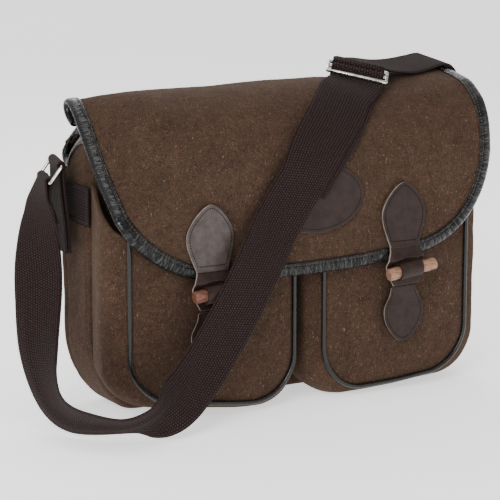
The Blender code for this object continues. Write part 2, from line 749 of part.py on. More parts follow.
def add_straps(look):
    """Long strap: from the left ring round the front, up to the slider and back under itself."""
    lift = RING_WIRE + GAP + WEBBING / 2.0
    layer = WEBBING + GAP
    rear = Vector(LEFT_RING_REAR)
    front = Vector(LEFT_RING_FRONT)
    bar = (front - rear).normalized()
    out = Vector((bar.y, -bar.x, 0.0)).normalized()
    reach = out * math.cos(RING_DROOP) - Vector((0.0, 0.0, math.sin(RING_DROOP)))
    outer = (rear + front) / 2.0 + reach * RING_WIDTH
    up = Vector((0.0, 0.0, 1.0))
    outers = [Vector(row[:3]) for row in STRAP_EDGES]
    inners = [Vector(row[3:]) for row in STRAP_EDGES]
    spine = catmull([(a + b) / 2.0 for a, b in zip(outers, inners)], 2)
    across_spine = catmull([(b - a).normalized() for a, b in zip(outers, inners)], 2)
    over = wrap(outer, out, up, lift + 0.4, 190.0, -10.0, 9)
    centres = over + spine
    acrosses = [bar] * len(over) + across_spine
    widths = [RING_FIT] * len(over) + [min(STRAP_WIDTH, RING_FIT + 1.5 * i) for i in range(len(spine))]
    middle, across, travel, away = slider_frame()
    centres += [middle + travel * along + away * height for along, height in SLIDER_THREAD]
    acrosses += [-across] * len(SLIDER_THREAD)
    widths += [STRAP_WIDTH] * len(SLIDER_THREAD)
    rows = strap_rows(centres, acrosses, widths)
    first = len(over)
    last = first + len(spine)
    above = WOOL / 2.0 + GAP + WEBBING / 2.0
    for i in range(first, last):
        tail_part = smooth((i - (last - 11)) / 3.0)
        for k, place in enumerate(rows[i]):
            on_label = 2.3 if abs(place.x - 5.0) < 58.0 and 165.0 < place.z < 252.0 else 0.0
            if place.z > 150.0 and place.x > -110.0:
                rows[i][k] = drape(place, above + 2.0 + on_label + tail_part * (layer + 1.4))
    for back, shift in ((1, 3.0), (3, 6.0), (5, 8.0), (7, 9.0)):
        i = last - back
        side = (rows[i][0] - rows[i][2]).normalized()
        rows.append([place - row_normal(rows, i) * (layer + 1.1) + side * shift for place in rows[i]])
    folded = [[place - row_normal(rows, i) * (layer + 0.5) for place in rows[i]] for i in (first + 2, first)]
    rows = folded + rows
    grid_object("shoulder_strap", rows, look, thickness=WEBBING, offset=0.0, even=False)


def add_short_strap(look):
    """Short strap from the slider's far bar over the back corner of the flap to the right ring."""
    middle, across, travel, away = slider_frame()
    lift = SLIDER_BAR / 2.0 + GAP + WEBBING / 2.0
    rear = Vector((-LEFT_RING_REAR[0], *LEFT_RING_REAR[1:]))
    front = Vector((-LEFT_RING_FRONT[0], *LEFT_RING_FRONT[1:]))
    bar = (front - rear).normalized()
    up = Vector((0.0, 0.0, 1.0))
    out = Vector((-bar.y, bar.x, 0.0))
    out = out if out.x > 0.0 else -out
    ring_bar = (rear + front) / 2.0 + up * RING_WIDTH
    far_bar = middle + travel * SLIDER_PITCH
    centres = [far_bar + travel * 9.0 - away * lift, far_bar + travel * 4.5 - away * lift]
    centres += wrap(far_bar, travel, away, lift, 270.0, 90.0, 7)
    centres.append(far_bar + travel * 5.0 + away * (lift - 0.1))
    acrosses = [-across] * len(centres)
    widths = [STRAP_WIDTH] * len(centres)
    first = len(centres)
    for row in SHORT_STRAP_RUN:
        centre = Vector(row[:3])
        centres.append(centre)
        acrosses.append((centre - Vector(row[3:])).normalized())
        widths.append(STRAP_WIDTH)
    last = len(centres)
    down = wrap(ring_bar, out, up, RING_WIRE + GAP + WEBBING / 2.0, 20.0, -200.0, 9)
    down += [ring_bar - out * 3.4 + up * 14.0, ring_bar - out * 2.6 + up * 26.0]
    centres += down
    acrosses += [-bar] * len(down)
    widths += [RING_FIT] * len(down)
    rows = strap_rows(centres, acrosses, widths)
    above = WOOL / 2.0 + GAP + WEBBING / 2.0
    for i in range(first, last):
        for k, place in enumerate(rows[i]):
            if place.x < 212.0:
                over_edge = 1.6 if place.x > 184.0 else 0.0
                rows[i][k] = drape(place, above + 0.9 + over_edge)
    grid_object("short_strap", rows, look, thickness=WEBBING, offset=0.0, even=False)


def clear_scene():
    for old in list(bpy.data.objects):
        bpy.data.objects.remove(old, do_unlink=True)


def main():
    wool = material("wool_felt", (0.088, 0.063, 0.045), 0.95)
    leather = material("brown_leather", (0.045, 0.028, 0.024), 0.45)
    edging = material("black_leather", (0.012, 0.011, 0.010), 0.35)
    webbing = material("webbing", (0.04, 0.028, 0.03), 0.9)
    wood = material("wood", (0.36, 0.17, 0.09), 0.6)
    nickel = material("nickel", (0.75, 0.74, 0.72), 0.2, 1.0)

    grid_object("body", body_rows(), wool, closed=True, thickness=WOOL, offset=-1.0, cap_bottom=True)
    grid_object("flap", flap_rows(), wool, thickness=WOOL, offset=0.0)
    grid_object("flap_binding", binding_rows(), edging, thickness=BINDING, offset=1.0)
    grid_object("mouth_binding", mouth_rows(), edging, thickness=1.0, offset=1.0, even=False)
    for name, side, centre_x, face_half in POCKETS:
        add_pocket(name, side, centre_x, face_half, wool)
        add_piping(name, side, centre_x, face_half, edging)
    patch = [(50.0 * math.cos(math.tau * i / 40), 33.0 * math.sin(math.tau * i / 40)) for i in range(40)]
    plate_object("label_patch", patch, (), 1.4, Matrix.Translation(Vector((5.0, -72.7, 205.0)) * MM), leather)
    add_closure("left", LEFT_CLOSURE_X, leather, wood)
    add_closure("right", RIGHT_CLOSURE_X, leather, wood)
    up = Vector((0.0, 0.0, 1.0))
    for side, sign in (("left", 1.0), ("right", -1.0)):
        rear = Vector((sign * LEFT_RING_REAR[0], *LEFT_RING_REAR[1:]))
        front = Vector((sign * LEFT_RING_FRONT[0], *LEFT_RING_FRONT[1:]))
        bar = (front - rear).normalized()
        out = Vector((-bar.y, bar.x, 0.0))
        out = out if out.x * sign < 0.0 else -out
        reach = out * math.cos(RING_DROOP) - up * math.sin(RING_DROOP)
        if side == "right":
            reach = up.copy()
        add_ring(f"{side}_ring", rear, front, bar, reach * RING_WIDTH, nickel)
        add_ring_tab(side, rear, front, webbing)
        add_side_patch(side, webbing)
    add_straps(webbing)
    add_short_strap(webbing)
    add_slider(nickel)
    slide = Matrix.Translation(Vector((0.0, BASE_SHIFT * MM, 0.0)))
    for piece in PIECES.objects:
        piece.matrix_world = slide @ piece.matrix_world


clear_scene()
PIECES = bpy.data.collections.new("hunting_game_bag")
bpy.context.scene.collection.children.link(PIECES)
main()
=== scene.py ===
"""Looks of the hunting game bag: felt, leather, webbing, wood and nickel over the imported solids.

The shapes below are worked out in millimetres with y = 0 between the body and its pockets, and to_metres()
brings them into the row frame, whose origin is the centre of the body's flat bottom.
"""
import logging
import math
from dataclasses import dataclass, field
from enum import Enum
from typing import Callable, Protocol, Sequence

import bmesh
import bpy
import numpy as np
from mathutils import Matrix, Vector, noise


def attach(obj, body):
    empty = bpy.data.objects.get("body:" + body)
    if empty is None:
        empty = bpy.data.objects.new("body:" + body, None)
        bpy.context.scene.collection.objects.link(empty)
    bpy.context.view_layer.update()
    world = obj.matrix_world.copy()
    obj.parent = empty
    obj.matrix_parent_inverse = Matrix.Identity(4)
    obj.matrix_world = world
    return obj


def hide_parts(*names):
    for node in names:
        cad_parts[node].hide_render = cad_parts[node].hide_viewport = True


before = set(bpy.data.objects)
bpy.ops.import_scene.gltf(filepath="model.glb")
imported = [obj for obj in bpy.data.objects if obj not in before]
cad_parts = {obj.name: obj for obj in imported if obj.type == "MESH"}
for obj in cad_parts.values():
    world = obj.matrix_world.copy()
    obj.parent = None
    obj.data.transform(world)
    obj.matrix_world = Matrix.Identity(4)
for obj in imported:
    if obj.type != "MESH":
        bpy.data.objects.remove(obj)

LOG = logging.getLogger("game_bag")
MM = 0.001
BASE_SHIFT = Vector((0.0, -30.5, 0.0))
FORWARD = Vector((0.0, -1.0, 0.0))

Row = list[Vector]
Rows = list[Row]
Table = tuple[tuple[float, ...], ...]


class Slot(str, Enum):
    """Material slots of the part's record."""

    WOOL = "wool_felt"
    EDGING = "black_leather"
    LEATHER = "brown_leather"
    WEBBING = "webbing"
    WOOD = "wood"
    NICKEL = "nickel"


# numbers shared by the pieces

def smooth(t: float) -> float:
    """Smooth step from 0 to 1."""
    t = min(max(t, 0.0), 1.0)
    return t * t * (3.0 - 2.0 * t)


def bump_at(x: float, centre: float, width: float) -> float:
    """Soft bump of height 1 and the given half width."""
    return smooth(1.0 - abs(x - centre) / width)


def to_metres(place: Vector) -> Vector:
    """Bring a place in the layout's millimetres into the row frame."""
    return (Vector(place) + BASE_SHIFT) * MM


def spline_point(points: Sequence[Vector], at: float) -> Vector:
    """Catmull-Rom point.

    Args:
        points: control points, one unit of `at` apart.
        at: place along them, clamped to their ends.

    Returns:
        The point on the curve.
    """
    last = len(points) - 1
    i = min(max(int(at), 0), last - 1)
    t = min(max(at - i, 0.0), 1.0)
    p1, p2 = points[i], points[i + 1]
    p0 = points[i - 1] if i else 2.0 * p1 - p2
    p3 = points[i + 2] if i + 2 <= last else 2.0 * p2 - p1
    return 0.5 * (2.0 * p1 + (p2 - p0) * t + (2.0 * p0 - 5.0 * p1 + 4.0 * p2 - p3) * t * t
                  + (3.0 * p1 - p0 - 3.0 * p2 + p3) * t ** 3)


def spline(points: Sequence[Vector], steps: int, closed: bool = False) -> Row:
    """Smooth curve through points, `steps` pieces to a span."""
    if closed:
        ring = [points[-1], *points, points[0], points[1]]
        fine = [spline_point(ring, 1.0 + i / steps) for i in range(steps * len(points))]
        return fine
    count = (len(points) - 1) * steps
    return [spline_point(points, i / steps) for i in range(count + 1)]


def table_spline(rows: Table, at: float) -> tuple[float, ...]:
    """Read a short table smoothly: its first column is the key."""
    keys = [row[0] for row in rows]
    i = min(max(int(np.searchsorted(keys, at)) - 1, 0), len(rows) - 2)
    t = min(max((at - keys[i]) / (keys[i + 1] - keys[i]), 0.0), 1.0)
    found = []
    for column in range(1, len(rows[0])):
        low, high = rows[i][column], rows[i + 1][column]
        span = keys[i + 1] - keys[i]
        slope_low = slope_high = (high - low) / span
        if i:
            before = (low - rows[i - 1][column]) / (keys[i] - keys[i - 1])
            slope_low = 0.0 if before * slope_low <= 0.0 else 2.0 * before * slope_low / (before + slope_low)
        if i + 2 < len(rows):
            after = (rows[i + 2][column] - high) / (keys[i + 2] - keys[i + 1])
            slope_high = 0.0 if after * slope_high <= 0.0 else 2.0 * after * slope_high / (after + slope_high)
        found.append((2 * t ** 3 - 3 * t ** 2 + 1) * low + (t ** 3 - 2 * t ** 2 + t) * span * slope_low
                     + (3 * t ** 2 - 2 * t ** 3) * high + (t ** 3 - t ** 2) * span * slope_high)
    return tuple(found)


def even_stations(points: Sequence[Vector], pitch: float) -> Row:
    """Points along a polyline at an even pitch.

    Args:
        points: the polyline, in millimetres.
        pitch: wanted distance between stations.

    Returns:
        The stations, both ends included.
    """
    lengths = [0.0]
    for a, b in zip(points, points[1:]):
        lengths.append(lengths[-1] + (b - a).length)
    count = max(int(round(lengths[-1] / pitch)), 1)
    found, k = [], 0
    for i in range(count + 1):
        want = lengths[-1] * i / count
        while k < len(lengths) - 2 and lengths[k + 1] < want:
            k += 1
        share = (want - lengths[k]) / max(lengths[k + 1] - lengths[k], 1e-9)
        found.append(points[k].lerp(points[k + 1], min(max(share, 0.0), 1.0)))
    return found


def ripple(place: Vector, size: float, seed: float = 0.0) -> float:
    """Smooth noise between about -1 and 1 whose lumps measure `size` millimetres."""
    return noise.noise(Vector(place) / size + Vector((seed, 2.0 * seed, 0.5)))


# finishes

def linear(code: str, alpha: float = 1.0) -> tuple[float, float, float, float]:
    """Linear colour of an sRGB hex code."""
    values = [int(code[i:i + 2], 16) / 255.0 for i in (1, 3, 5)]
    red, green, blue = (v / 12.92 if v <= 0.04045 else ((v + 0.055) / 1.055) ** 2.4 for v in values)
    return red, green, blue, alpha


class Graph:
    """A material's node tree with one small way to add nodes."""

    def __init__(self, name: str) -> None:
        """Start a material with its Principled shader."""
        self.material = bpy.data.materials.new(name)
        self.material.use_nodes = True
        self.tree = self.material.node_tree
        self.shader = self.tree.nodes["Principled BSDF"]

    def add(self, kind: str, *links: object, **settings: object) -> bpy.types.Node:
        """Add a node.

        Args:
            kind: node type without the ShaderNode prefix.
            links: for each input in order, a socket, a value or None.
            settings: properties of the node, or inputs by their lower-case names.

        Returns:
            The new node.
        """
        node = self.tree.nodes.new("ShaderNode" + kind)
        inputs = {s.name.lower().replace(" ", "_"): s for s in node.inputs}
        for key, value in settings.items():
            if key not in inputs:
                setattr(node, key, value)
        for socket, value in zip(node.inputs, links):
            self.feed(socket, value)
        for key, value in settings.items():
            if key in inputs:
                self.feed(inputs[key], value)
        return node

    def feed(self, socket: bpy.types.NodeSocket, value: object) -> None:
        """Link a socket into an input, or set its value."""
        if value is None:
            return
        if isinstance(value, bpy.types.NodeSocket):
            self.tree.links.new(value, socket)
        else:
            socket.default_value = value

    def math(self, operation: str, *values: object) -> bpy.types.NodeSocket:
        """Result of a Math node."""
        return self.add("Math", *values, operation=operation).outputs[0]

    def noise(self, coords: bpy.types.NodeSocket, lump_mm: float, detail: float = 3.0,
              roughness: float = 0.6, distortion: float = 0.0) -> bpy.types.NodeSocket:
        """Noise whose lumps measure `lump_mm`, on coordinates in metres."""
        return self.add("TexNoise", coords, scale=1.0 / (lump_mm * MM), detail=detail, roughness=roughness,
                        distortion=distortion).outputs[0]

    def ramp(self, factor: bpy.types.NodeSocket, *stops: tuple[float, tuple]) -> bpy.types.NodeSocket:
        """Colour ramp through (place, colour) stops."""
        node = self.add("ValToRGB", factor)
        while len(node.color_ramp.elements) < len(stops):
            node.color_ramp.elements.new(0.5)
        for element, (place, color) in zip(node.color_ramp.elements, stops):
            element.position = place
            element.color = color
        return node.outputs[0]

    def mix(self, factor: object, first: object, second: object, blend: str = "MIX") -> bpy.types.NodeSocket:
        """Colour mix."""
        node = self.add("Mix", data_type="RGBA", blend_type=blend)
        for socket, value in ((node.inputs[0], factor), (node.inputs[6], first), (node.inputs[7], second)):
            self.feed(socket, value)
        return node.outputs[2]

    def bump(self, height: bpy.types.NodeSocket, depth_mm: float, strength: float = 1.0,
             normal: bpy.types.NodeSocket | None = None) -> bpy.types.NodeSocket:
        """Bump node, chained on an earlier normal if there is one."""
        node = self.add("Bump", height=height, strength=strength, distance=depth_mm * MM)
        self.feed(node.inputs["Normal"], normal)
        return node.outputs[0]

    def surface(self, **values: object) -> None:
        """Set or link the shader's own sockets by lower-case name."""
        for key, value in values.items():
            socket = next(s for s in self.shader.inputs if s.name.lower().replace(" ", "_") == key)
            self.feed(socket, value)


class Finish(Protocol):
    """What every finish offers: a name, the record's slot and its material."""

    name: str
    slot: Slot

    def build(self) -> bpy.types.Material:
        """Make the material."""


@dataclass(frozen=True)
class Felt:
    """Milled wool cloth: grains of brown and olive, matt, with pale kemp hairs."""

    name: str = "wool_felt"
    dark: str = "#241813"
    middle: str = "#3b2a22"
    light: str = "#543f33"
    olive: str = "#3a3322"
    slot: Slot = Slot.WOOL

    def build(self) -> bpy.types.Material:
        """Make the material."""
        graph = Graph(self.name)
        place = graph.add("TexCoord").outputs["Object"]
        broad = graph.noise(place, 30.0, 2.0)
        lumps = graph.noise(place, 5.0, 4.0, 0.65, 0.4)
        fine = graph.noise(place, 1.3, 3.0, 0.75)
        grains = graph.math("ADD", graph.math("MULTIPLY", lumps, 0.25), graph.math("MULTIPLY", fine, 0.6))
        tone = graph.math("ADD", graph.math("MULTIPLY", broad, 0.15), grains)
        color = graph.ramp(tone, (0.36, linear(self.dark)), (0.5, linear(self.middle)),
                           (0.64, linear(self.light)))
        patches = graph.ramp(graph.noise(place, 6.5, 3.0, 0.6, 0.8), (0.48, linear("#000000")),
                             (0.62, linear("#ffffff")))
        color = graph.mix(graph.math("MULTIPLY", patches, 0.45), color, linear(self.olive))
        warp = graph.add("VectorMath", place, (1.0, 1.0, 0.35), operation="MULTIPLY").outputs[0]
        hair = graph.noise(warp, 1.1, 1.0, 0.4, 1.4)
        streak = graph.ramp(hair, (0.68, linear("#000000")), (0.75, linear("#ffffff")))
        color = graph.mix(graph.math("MULTIPLY", streak, 0.5), color, linear("#8e7a68"))
        normal = graph.bump(lumps, 0.9, 0.4)
        normal = graph.bump(fine, 0.7, 0.9, normal)
        graph.surface(base_color=color, roughness=0.96, sheen_weight=0.12, sheen_roughness=0.5,
                      sheen_tint=linear("#b9a08c"), normal=normal, specular_ior_level=0.12)
        return graph.material


@dataclass(frozen=True)
class Hide:
    """Leather with a fine grain, gathered across its length where gather_mm says how closely, with painted
    shade in the gathers' creases.
    """

    name: str
    dark: str
    light: str
    roughness: float
    slot: Slot
    grain_mm: float = 0.7
    coat: float = 0.0
    gather_mm: float = 0.0
    sheen: float = 0.5

    def build(self) -> bpy.types.Material:
        """Make the material."""
        graph = Graph(self.name)
        place = graph.add("TexCoord").outputs["Object"]
        cloud = graph.noise(place, 9.0, 4.0, 0.6)
        color = graph.ramp(cloud, (0.35, linear(self.dark)), (0.65, linear(self.light)))
        cells = graph.add("TexVoronoi", place, feature="DISTANCE_TO_EDGE",
                          scale=1.0 / (self.grain_mm * MM)).outputs[0]
        grain = graph.math("MINIMUM", cells, 0.22)
        fold = graph.noise(place, 2.4, 3.0, 0.55, 0.6)
        normal = graph.bump(grain, 0.12, 0.5)
        normal = graph.bump(fold, 0.35, 0.45, normal)
        coat = self.coat
        if self.gather_mm:
            creases = self.creases(graph)
            normal = graph.bump(creases, 2.4, 1.0, normal)
            raised = graph.ramp(creases, (0.1, (0.1, 0.1, 0.1, 1.0)), (0.55, (0.8, 0.8, 0.8, 1.0)))
            # painted shade: the base colour darkens to near-black down in the gathers' creases
            crease_shade = graph.ramp(creases, (0.0, linear("#ffffff")), (0.4, linear("#000000")))
            color = graph.mix(crease_shade, color, linear("#050505"))
            coat = graph.math("MULTIPLY", raised, self.coat)
        shine = graph.math("MULTIPLY_ADD", cloud, 0.3, self.roughness - 0.15)
        graph.surface(base_color=color, roughness=shine, normal=normal, coat_weight=coat,
                      coat_roughness=0.22, specular_ior_level=self.sheen)
        return graph.material

    def creases(self, graph: Graph) -> bpy.types.NodeSocket:
        """Height of the gathers, dropping to 0 in the creases, laid out on UV coordinates."""
        laid = graph.add("UVMap").outputs[0]
        across = graph.add("VectorMath", laid, (1.0 / self.gather_mm, 0.12 / self.gather_mm, 1.0),
                           operation="MULTIPLY").outputs[0]
        wave = graph.add("TexNoise", across, scale=1.0, detail=2.0, roughness=0.5, distortion=0.3).outputs[0]
        fold = graph.math("ABSOLUTE", graph.math("MULTIPLY_ADD", wave, 2.0, -1.0))
        return graph.math("MINIMUM", graph.math("MULTIPLY", fold, 2.2), 0.6)


@dataclass(frozen=True)
class Weave:
    """Heavy cotton webbing, its basket weave laid out on UV coordinates in millimetres, with painted shade
    between its threads.
    """

    name: str = "webbing"
    ground_and_gap_shade: str = "#120a09"
    raised: str = "#2c1e1c"
    speck: str = "#4c3c3c"
    slot: Slot = Slot.WEBBING
    rib_mm: float = 2.7
    pick_mm: float = 2.5

    def build(self) -> bpy.types.Material:
        """Make the material."""
        graph = Graph(self.name)
        laid = graph.add("UVMap").outputs[0]
        place = graph.add("TexCoord").outputs["Object"]
        wobble = graph.math("MULTIPLY_ADD", graph.noise(place, 3.0, 2.0), 0.5, -0.25)
        parts = graph.add("SeparateXYZ", laid)
        along = graph.math("ADD", graph.math("DIVIDE", parts.outputs[0], self.pick_mm), wobble)
        across = graph.math("ADD", graph.math("DIVIDE", parts.outputs[1], self.rib_mm), wobble)
        shift = graph.math("MULTIPLY", graph.math("FLOOR", across), 0.5)
        picks = graph.math("ABSOLUTE", graph.math("SINE", graph.math("MULTIPLY", math.pi,
                                                                      graph.math("ADD", along, shift))))
        ribs = graph.math("ABSOLUTE", graph.math("SINE", graph.math("MULTIPLY", math.pi, across)))
        height = graph.math("SQRT", graph.math("MULTIPLY", picks, ribs))
        fuzz = graph.noise(place, 0.9, 3.0, 0.7)
        cloud = graph.noise(place, 14.0, 2.0)
        # painted shade and light: the colour follows the weave's height, dark in the low spots between
        # threads and lighter on the raised ones; the fuzz noise and the cloud add random tone
        tone = graph.math("ADD", graph.math("MULTIPLY", height, 0.75), graph.math("MULTIPLY", fuzz, 0.35))
        color = graph.ramp(tone, (0.45, linear(self.ground_and_gap_shade)), (0.8, linear(self.raised)),
                           (1.0, linear(self.speck)))
        color = graph.mix(graph.math("MULTIPLY", cloud, 0.3), color, linear(self.ground_and_gap_shade))
        normal = graph.bump(height, 1.0, 1.0)
        normal = graph.bump(fuzz, 0.35, 0.6, normal)
        graph.surface(base_color=color, roughness=0.85, sheen_weight=0.06, sheen_roughness=0.5,
                      sheen_tint=linear("#a39898"), normal=normal, specular_ior_level=0.12)
        return graph.material


@dataclass(frozen=True)
class Hardwood:
    """Barked hardwood twig, stained reddish."""

    name: str = "toggle_wood"
    dark: str = "#744836"
    light: str = "#b08064"
    slot: Slot = Slot.WOOD

    def build(self) -> bpy.types.Material:
        """Make the material."""
        graph = Graph(self.name)
        place = graph.add("TexCoord").outputs["Object"]
        along = graph.add("VectorMath", place, (0.25, 1.0, 1.0), operation="MULTIPLY").outputs[0]
        grain = graph.noise(along, 1.8, 4.0, 0.65, 0.5)
        speck = graph.noise(place, 2.2, 3.0, 0.6)
        color = graph.ramp(grain, (0.36, linear(self.dark)), (0.62, linear(self.light)))
        marks = graph.ramp(speck, (0.56, linear("#000000")), (0.66, linear("#ffffff")))
        color = graph.mix(graph.math("MULTIPLY", marks, 0.45), color, linear("#65402e"))
        normal = graph.bump(grain, 0.5, 0.6)
        graph.surface(base_color=color, roughness=0.55, normal=normal)
        return graph.material


@dataclass(frozen=True)
class Plated:
    """Nickel plate, handled and slightly clouded."""

    name: str = "nickel_plate"
    light: str = "#dcd9d4"
    dull: str = "#a9a6a1"
    roughness: float = 0.2
    slot: Slot = Slot.NICKEL

    def build(self) -> bpy.types.Material:
        """Make the material."""
        graph = Graph(self.name)
        place = graph.add("TexCoord").outputs["Object"]
        cloud = graph.noise(place, 4.0, 4.0, 0.6)
        color = graph.ramp(cloud, (0.35, linear(self.dull)), (0.6, linear(self.light)))
        shine = graph.math("MULTIPLY_ADD", cloud, 0.2, self.roughness - 0.08)
        normal = graph.bump(graph.noise(place, 1.2, 2.0), 0.05, 0.3)
        graph.surface(base_color=color, metallic=1.0, roughness=shine, normal=normal)
        return graph.material


@dataclass(frozen=True)
class Thread:
    """Twisted sewing thread or loose fibre."""

    name: str
    color: str
    slot: Slot

    def build(self) -> bpy.types.Material:
        """Make the material."""
        graph = Graph(self.name)
        place = graph.add("TexCoord").outputs["Object"]
        cloud = graph.noise(place, 1.5, 2.0)
        shade = graph.mix(graph.math("MULTIPLY", cloud, 0.5), linear(self.color), linear("#1c1816"))
        graph.surface(base_color=shade, roughness=0.9, specular_ior_level=0.1)
        return graph.material


FELT = Felt()
EDGING = Hide("black_leather", "#080807", "#12110f", 0.3, Slot.EDGING, coat=0.1, sheen=0.35)
GATHERED = Hide("gathered_leather", "#070707", "#141311", 0.24, Slot.EDGING, coat=1.0, gather_mm=1.7,
                sheen=0.18)
SADDLE = Hide("brown_leather", "#251b19", "#30241f", 0.42, Slot.LEATHER, sheen=0.15)
# painted highlight: lighter base colours than the brown leather stand in for the highlight on the left flap
# tab's teardrop; its higher coat and sheen are real gloss
SATIN_PAINTED_HIGHLIGHT = Hide("satin_brown_leather", "#352b28", "#473d3a", 0.33, Slot.LEATHER, coat=0.12, sheen=0.3)
CUT_EDGE = Hide("leather_cut_edge", "#74665f", "#94867e", 0.7, Slot.LEATHER, grain_mm=0.4)
WEBBING = Weave()
WOOD = Hardwood(dark="#66483a", light="#957057")
RED_WOOD = Hardwood("toggle_red_wood", "#432517", "#724532")
NICKEL = Plated()
DARK_THREAD = Thread("dark_thread", "#120c0a", Slot.LEATHER)
BLACK_THREAD = Thread("black_thread", "#5e5248", Slot.EDGING)
WOOL_FIBRE = Thread("wool_fibre", "#5c4a3c", Slot.WOOL)
KEMP_FIBRE = Thread("kemp_fibre", "#a8988a", Slot.WOOL)
COTTON_FIBRE = Thread("cotton_fibre", "#453a3c", Slot.WEBBING)
MATERIALS: dict[str, bpy.types.Material] = {}


def look(finish: Finish) -> bpy.types.Material:
    """The finish's material, built once."""
    if finish.name not in MATERIALS:
        MATERIALS[finish.name] = finish.build()
    return MATERIALS[finish.name]


# meshes

def show(mesh: bpy.types.Mesh, name: str, finish: Finish, nodes: Sequence[str] = ()) -> bpy.types.Object:
    """Put a mesh in the scene as a piece of the bag.

    Args:
        mesh: the mesh, in the row frame.
        name: the object's name.
        finish: its finish.
        nodes: solids that it stands for.

    Returns:
        The object.
    """
    made = bpy.data.objects.new(name, mesh)
    mesh.materials.append(look(finish))
    bpy.context.scene.collection.objects.link(made)
    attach(made, "root")
    if nodes:
        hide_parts(*nodes)
    LOG.info("%s in %s, for %s", name, finish.name, ", ".join(nodes) or "no solid")
    return made


def finished_mesh(work: bmesh.types.BMesh, name: str) -> bpy.types.Mesh:
    """Mesh from a bmesh, faces out and shaded smooth."""
    bmesh.ops.recalc_face_normals(work, faces=work.faces)
    mesh = bpy.data.meshes.new(name)
    work.to_mesh(mesh)
    work.free()
    mesh.shade_smooth()
    return mesh


@dataclass
class Skin:
    """A grid of places, in layout millimetres, that becomes a closed sheet of some thickness."""

    rows: Rows
    closed: bool = False
    thickness: float = 2.0
    offset: float = 0.0
    apex: Vector | None = None
    floor: bool = False
    even: bool = False
    rim: float = 0.0

    def mesh(self, name: str) -> bpy.types.Mesh:
        """Build the mesh with UV coordinates in millimetres, and its thickness."""
        work = bmesh.new()
        layer = work.loops.layers.uv.new("UVMap")
        verts = [[work.verts.new(to_metres(p)) for p in row] for row in self.rows]
        middle = len(self.rows[0]) // 2
        along = [0.0]
        for low, high in zip(self.rows, self.rows[1:]):
            along.append(along[-1] + (high[middle] - low[middle]).length)
        across = []
        for row in self.rows:
            run = [0.0]
            for a, b in zip(row, row[1:] + row[:1]):
                run.append(run[-1] + (b - a).length)
            across.append(run)
        count = len(self.rows[0])
        span = count if self.closed else count - 1
        for k in range(len(verts) - 1):
            for i in range(span):
                j = (i + 1) % count
                face = work.faces.new((verts[k][i], verts[k][j], verts[k + 1][j], verts[k + 1][i]))
                spots = ((along[k], across[k][i]), (along[k], across[k][i + 1]),
                         (along[k + 1], across[k + 1][i + 1]), (along[k + 1], across[k + 1][i]))
                for loop, spot in zip(face.loops, spots):
                    loop[layer].uv = spot
        if self.floor:
            work.faces.new(list(reversed(verts[0])))
        if self.apex is not None:
            tip = work.verts.new(to_metres(self.apex))
            for i in range(span):
                work.faces.new((verts[-1][i], verts[-1][(i + 1) % count], tip))
        return finished_mesh(work, name)

    def show(self, name: str, finish: Finish, nodes: Sequence[str] = ()) -> bpy.types.Object:
        """Put the sheet in the scene, its thickness as Solidify and its rims rounded."""
        made = show(self.mesh(name), name, finish, nodes)
        shell = made.modifiers.new("thickness", "SOLIDIFY")
        shell.thickness = self.thickness * MM
        shell.offset = self.offset
        shell.use_even_offset = self.even
        if self.rim:
            round_rim = made.modifiers.new("rim", "BEVEL")
            round_rim.width = self.rim * MM
            round_rim.segments = 3
            round_rim.limit_method = "ANGLE"
            round_rim.angle_limit = math.radians(50.0)
        return made


@dataclass
class Band:
    """Webbing laid along rows of places: rounded edges, one closed strip."""

    rows: Rows
    thickness: float = 2.6
    columns: int = 18
    steps: int = 5
    shape: Callable[[float, float], float] | None = None

    def fine_rows(self) -> list[tuple[Row, float]]:
        """Rows across the strip after smoothing, each with its share of the length."""
        lanes = [spline([row[k] for row in self.rows], self.steps) for k in range(len(self.rows[0]))]
        count = len(lanes[0])
        found = []
        for i in range(count):
            marks = [lane[i] for lane in lanes]
            last = len(marks) - 1
            row = [spline_point(marks, last * c / self.columns) for c in range(self.columns + 1)]
            found.append((row, i / self.steps))
        return found

    def show(self, name: str, finish: Finish, nodes: Sequence[str] = ()) -> bpy.types.Object:
        """Build the strip and put it in the scene."""
        fine = self.fine_rows()
        half = self.thickness / 2.0
        rings, spots, length = [], [], 0.0
        for i, (row, at) in enumerate(fine):
            before = fine[max(i - 1, 0)][0]
            after = fine[min(i + 1, len(fine) - 1)][0]
            if i:
                length += (row[len(row) // 2] - before[len(row) // 2]).length
            normals = []
            for c in range(len(row)):
                side = row[min(c + 1, len(row) - 1)] - row[max(c - 1, 0)]
                run = after[c] - before[c]
                normals.append(side.cross(run).normalized())
            width = sum((b - a).length for a, b in zip(row, row[1:]))
            top, low, uv_top, uv_low = [], [], [], []
            for c, (place, normal) in enumerate(zip(row, normals)):
                share = c / self.columns
                edge = min(share, 1.0 - share) * width
                swell = half * math.sqrt(max(1.0 - (1.0 - min(edge / half, 1.0)) ** 2, 0.05))
                lift = self.shape(at, share) if self.shape else 0.0
                top.append(place + normal * (swell + lift))
                low.append(place - normal * (swell - lift))
                uv_top.append((length, share * width))
                uv_low.append((length, width * 2.0 + 3.0 - share * width))
            rings.append(top + list(reversed(low)))
            spots.append(uv_top + list(reversed(uv_low)))
        work = bmesh.new()
        layer = work.loops.layers.uv.new("UVMap")
        verts = [[work.verts.new(to_metres(p)) for p in ring] for ring in rings]
        count = len(rings[0])
        for k in range(len(verts) - 1):
            for i in range(count):
                j = (i + 1) % count
                face = work.faces.new((verts[k][i], verts[k][j], verts[k + 1][j], verts[k + 1][i]))
                laid = (spots[k][i], spots[k][j], spots[k + 1][j], spots[k + 1][i])
                for loop, spot in zip(face.loops, laid):
                    loop[layer].uv = spot
        work.faces.new(list(reversed(verts[0])))
        work.faces.new(verts[-1])
        return show(finished_mesh(work, name), name, finish, nodes)


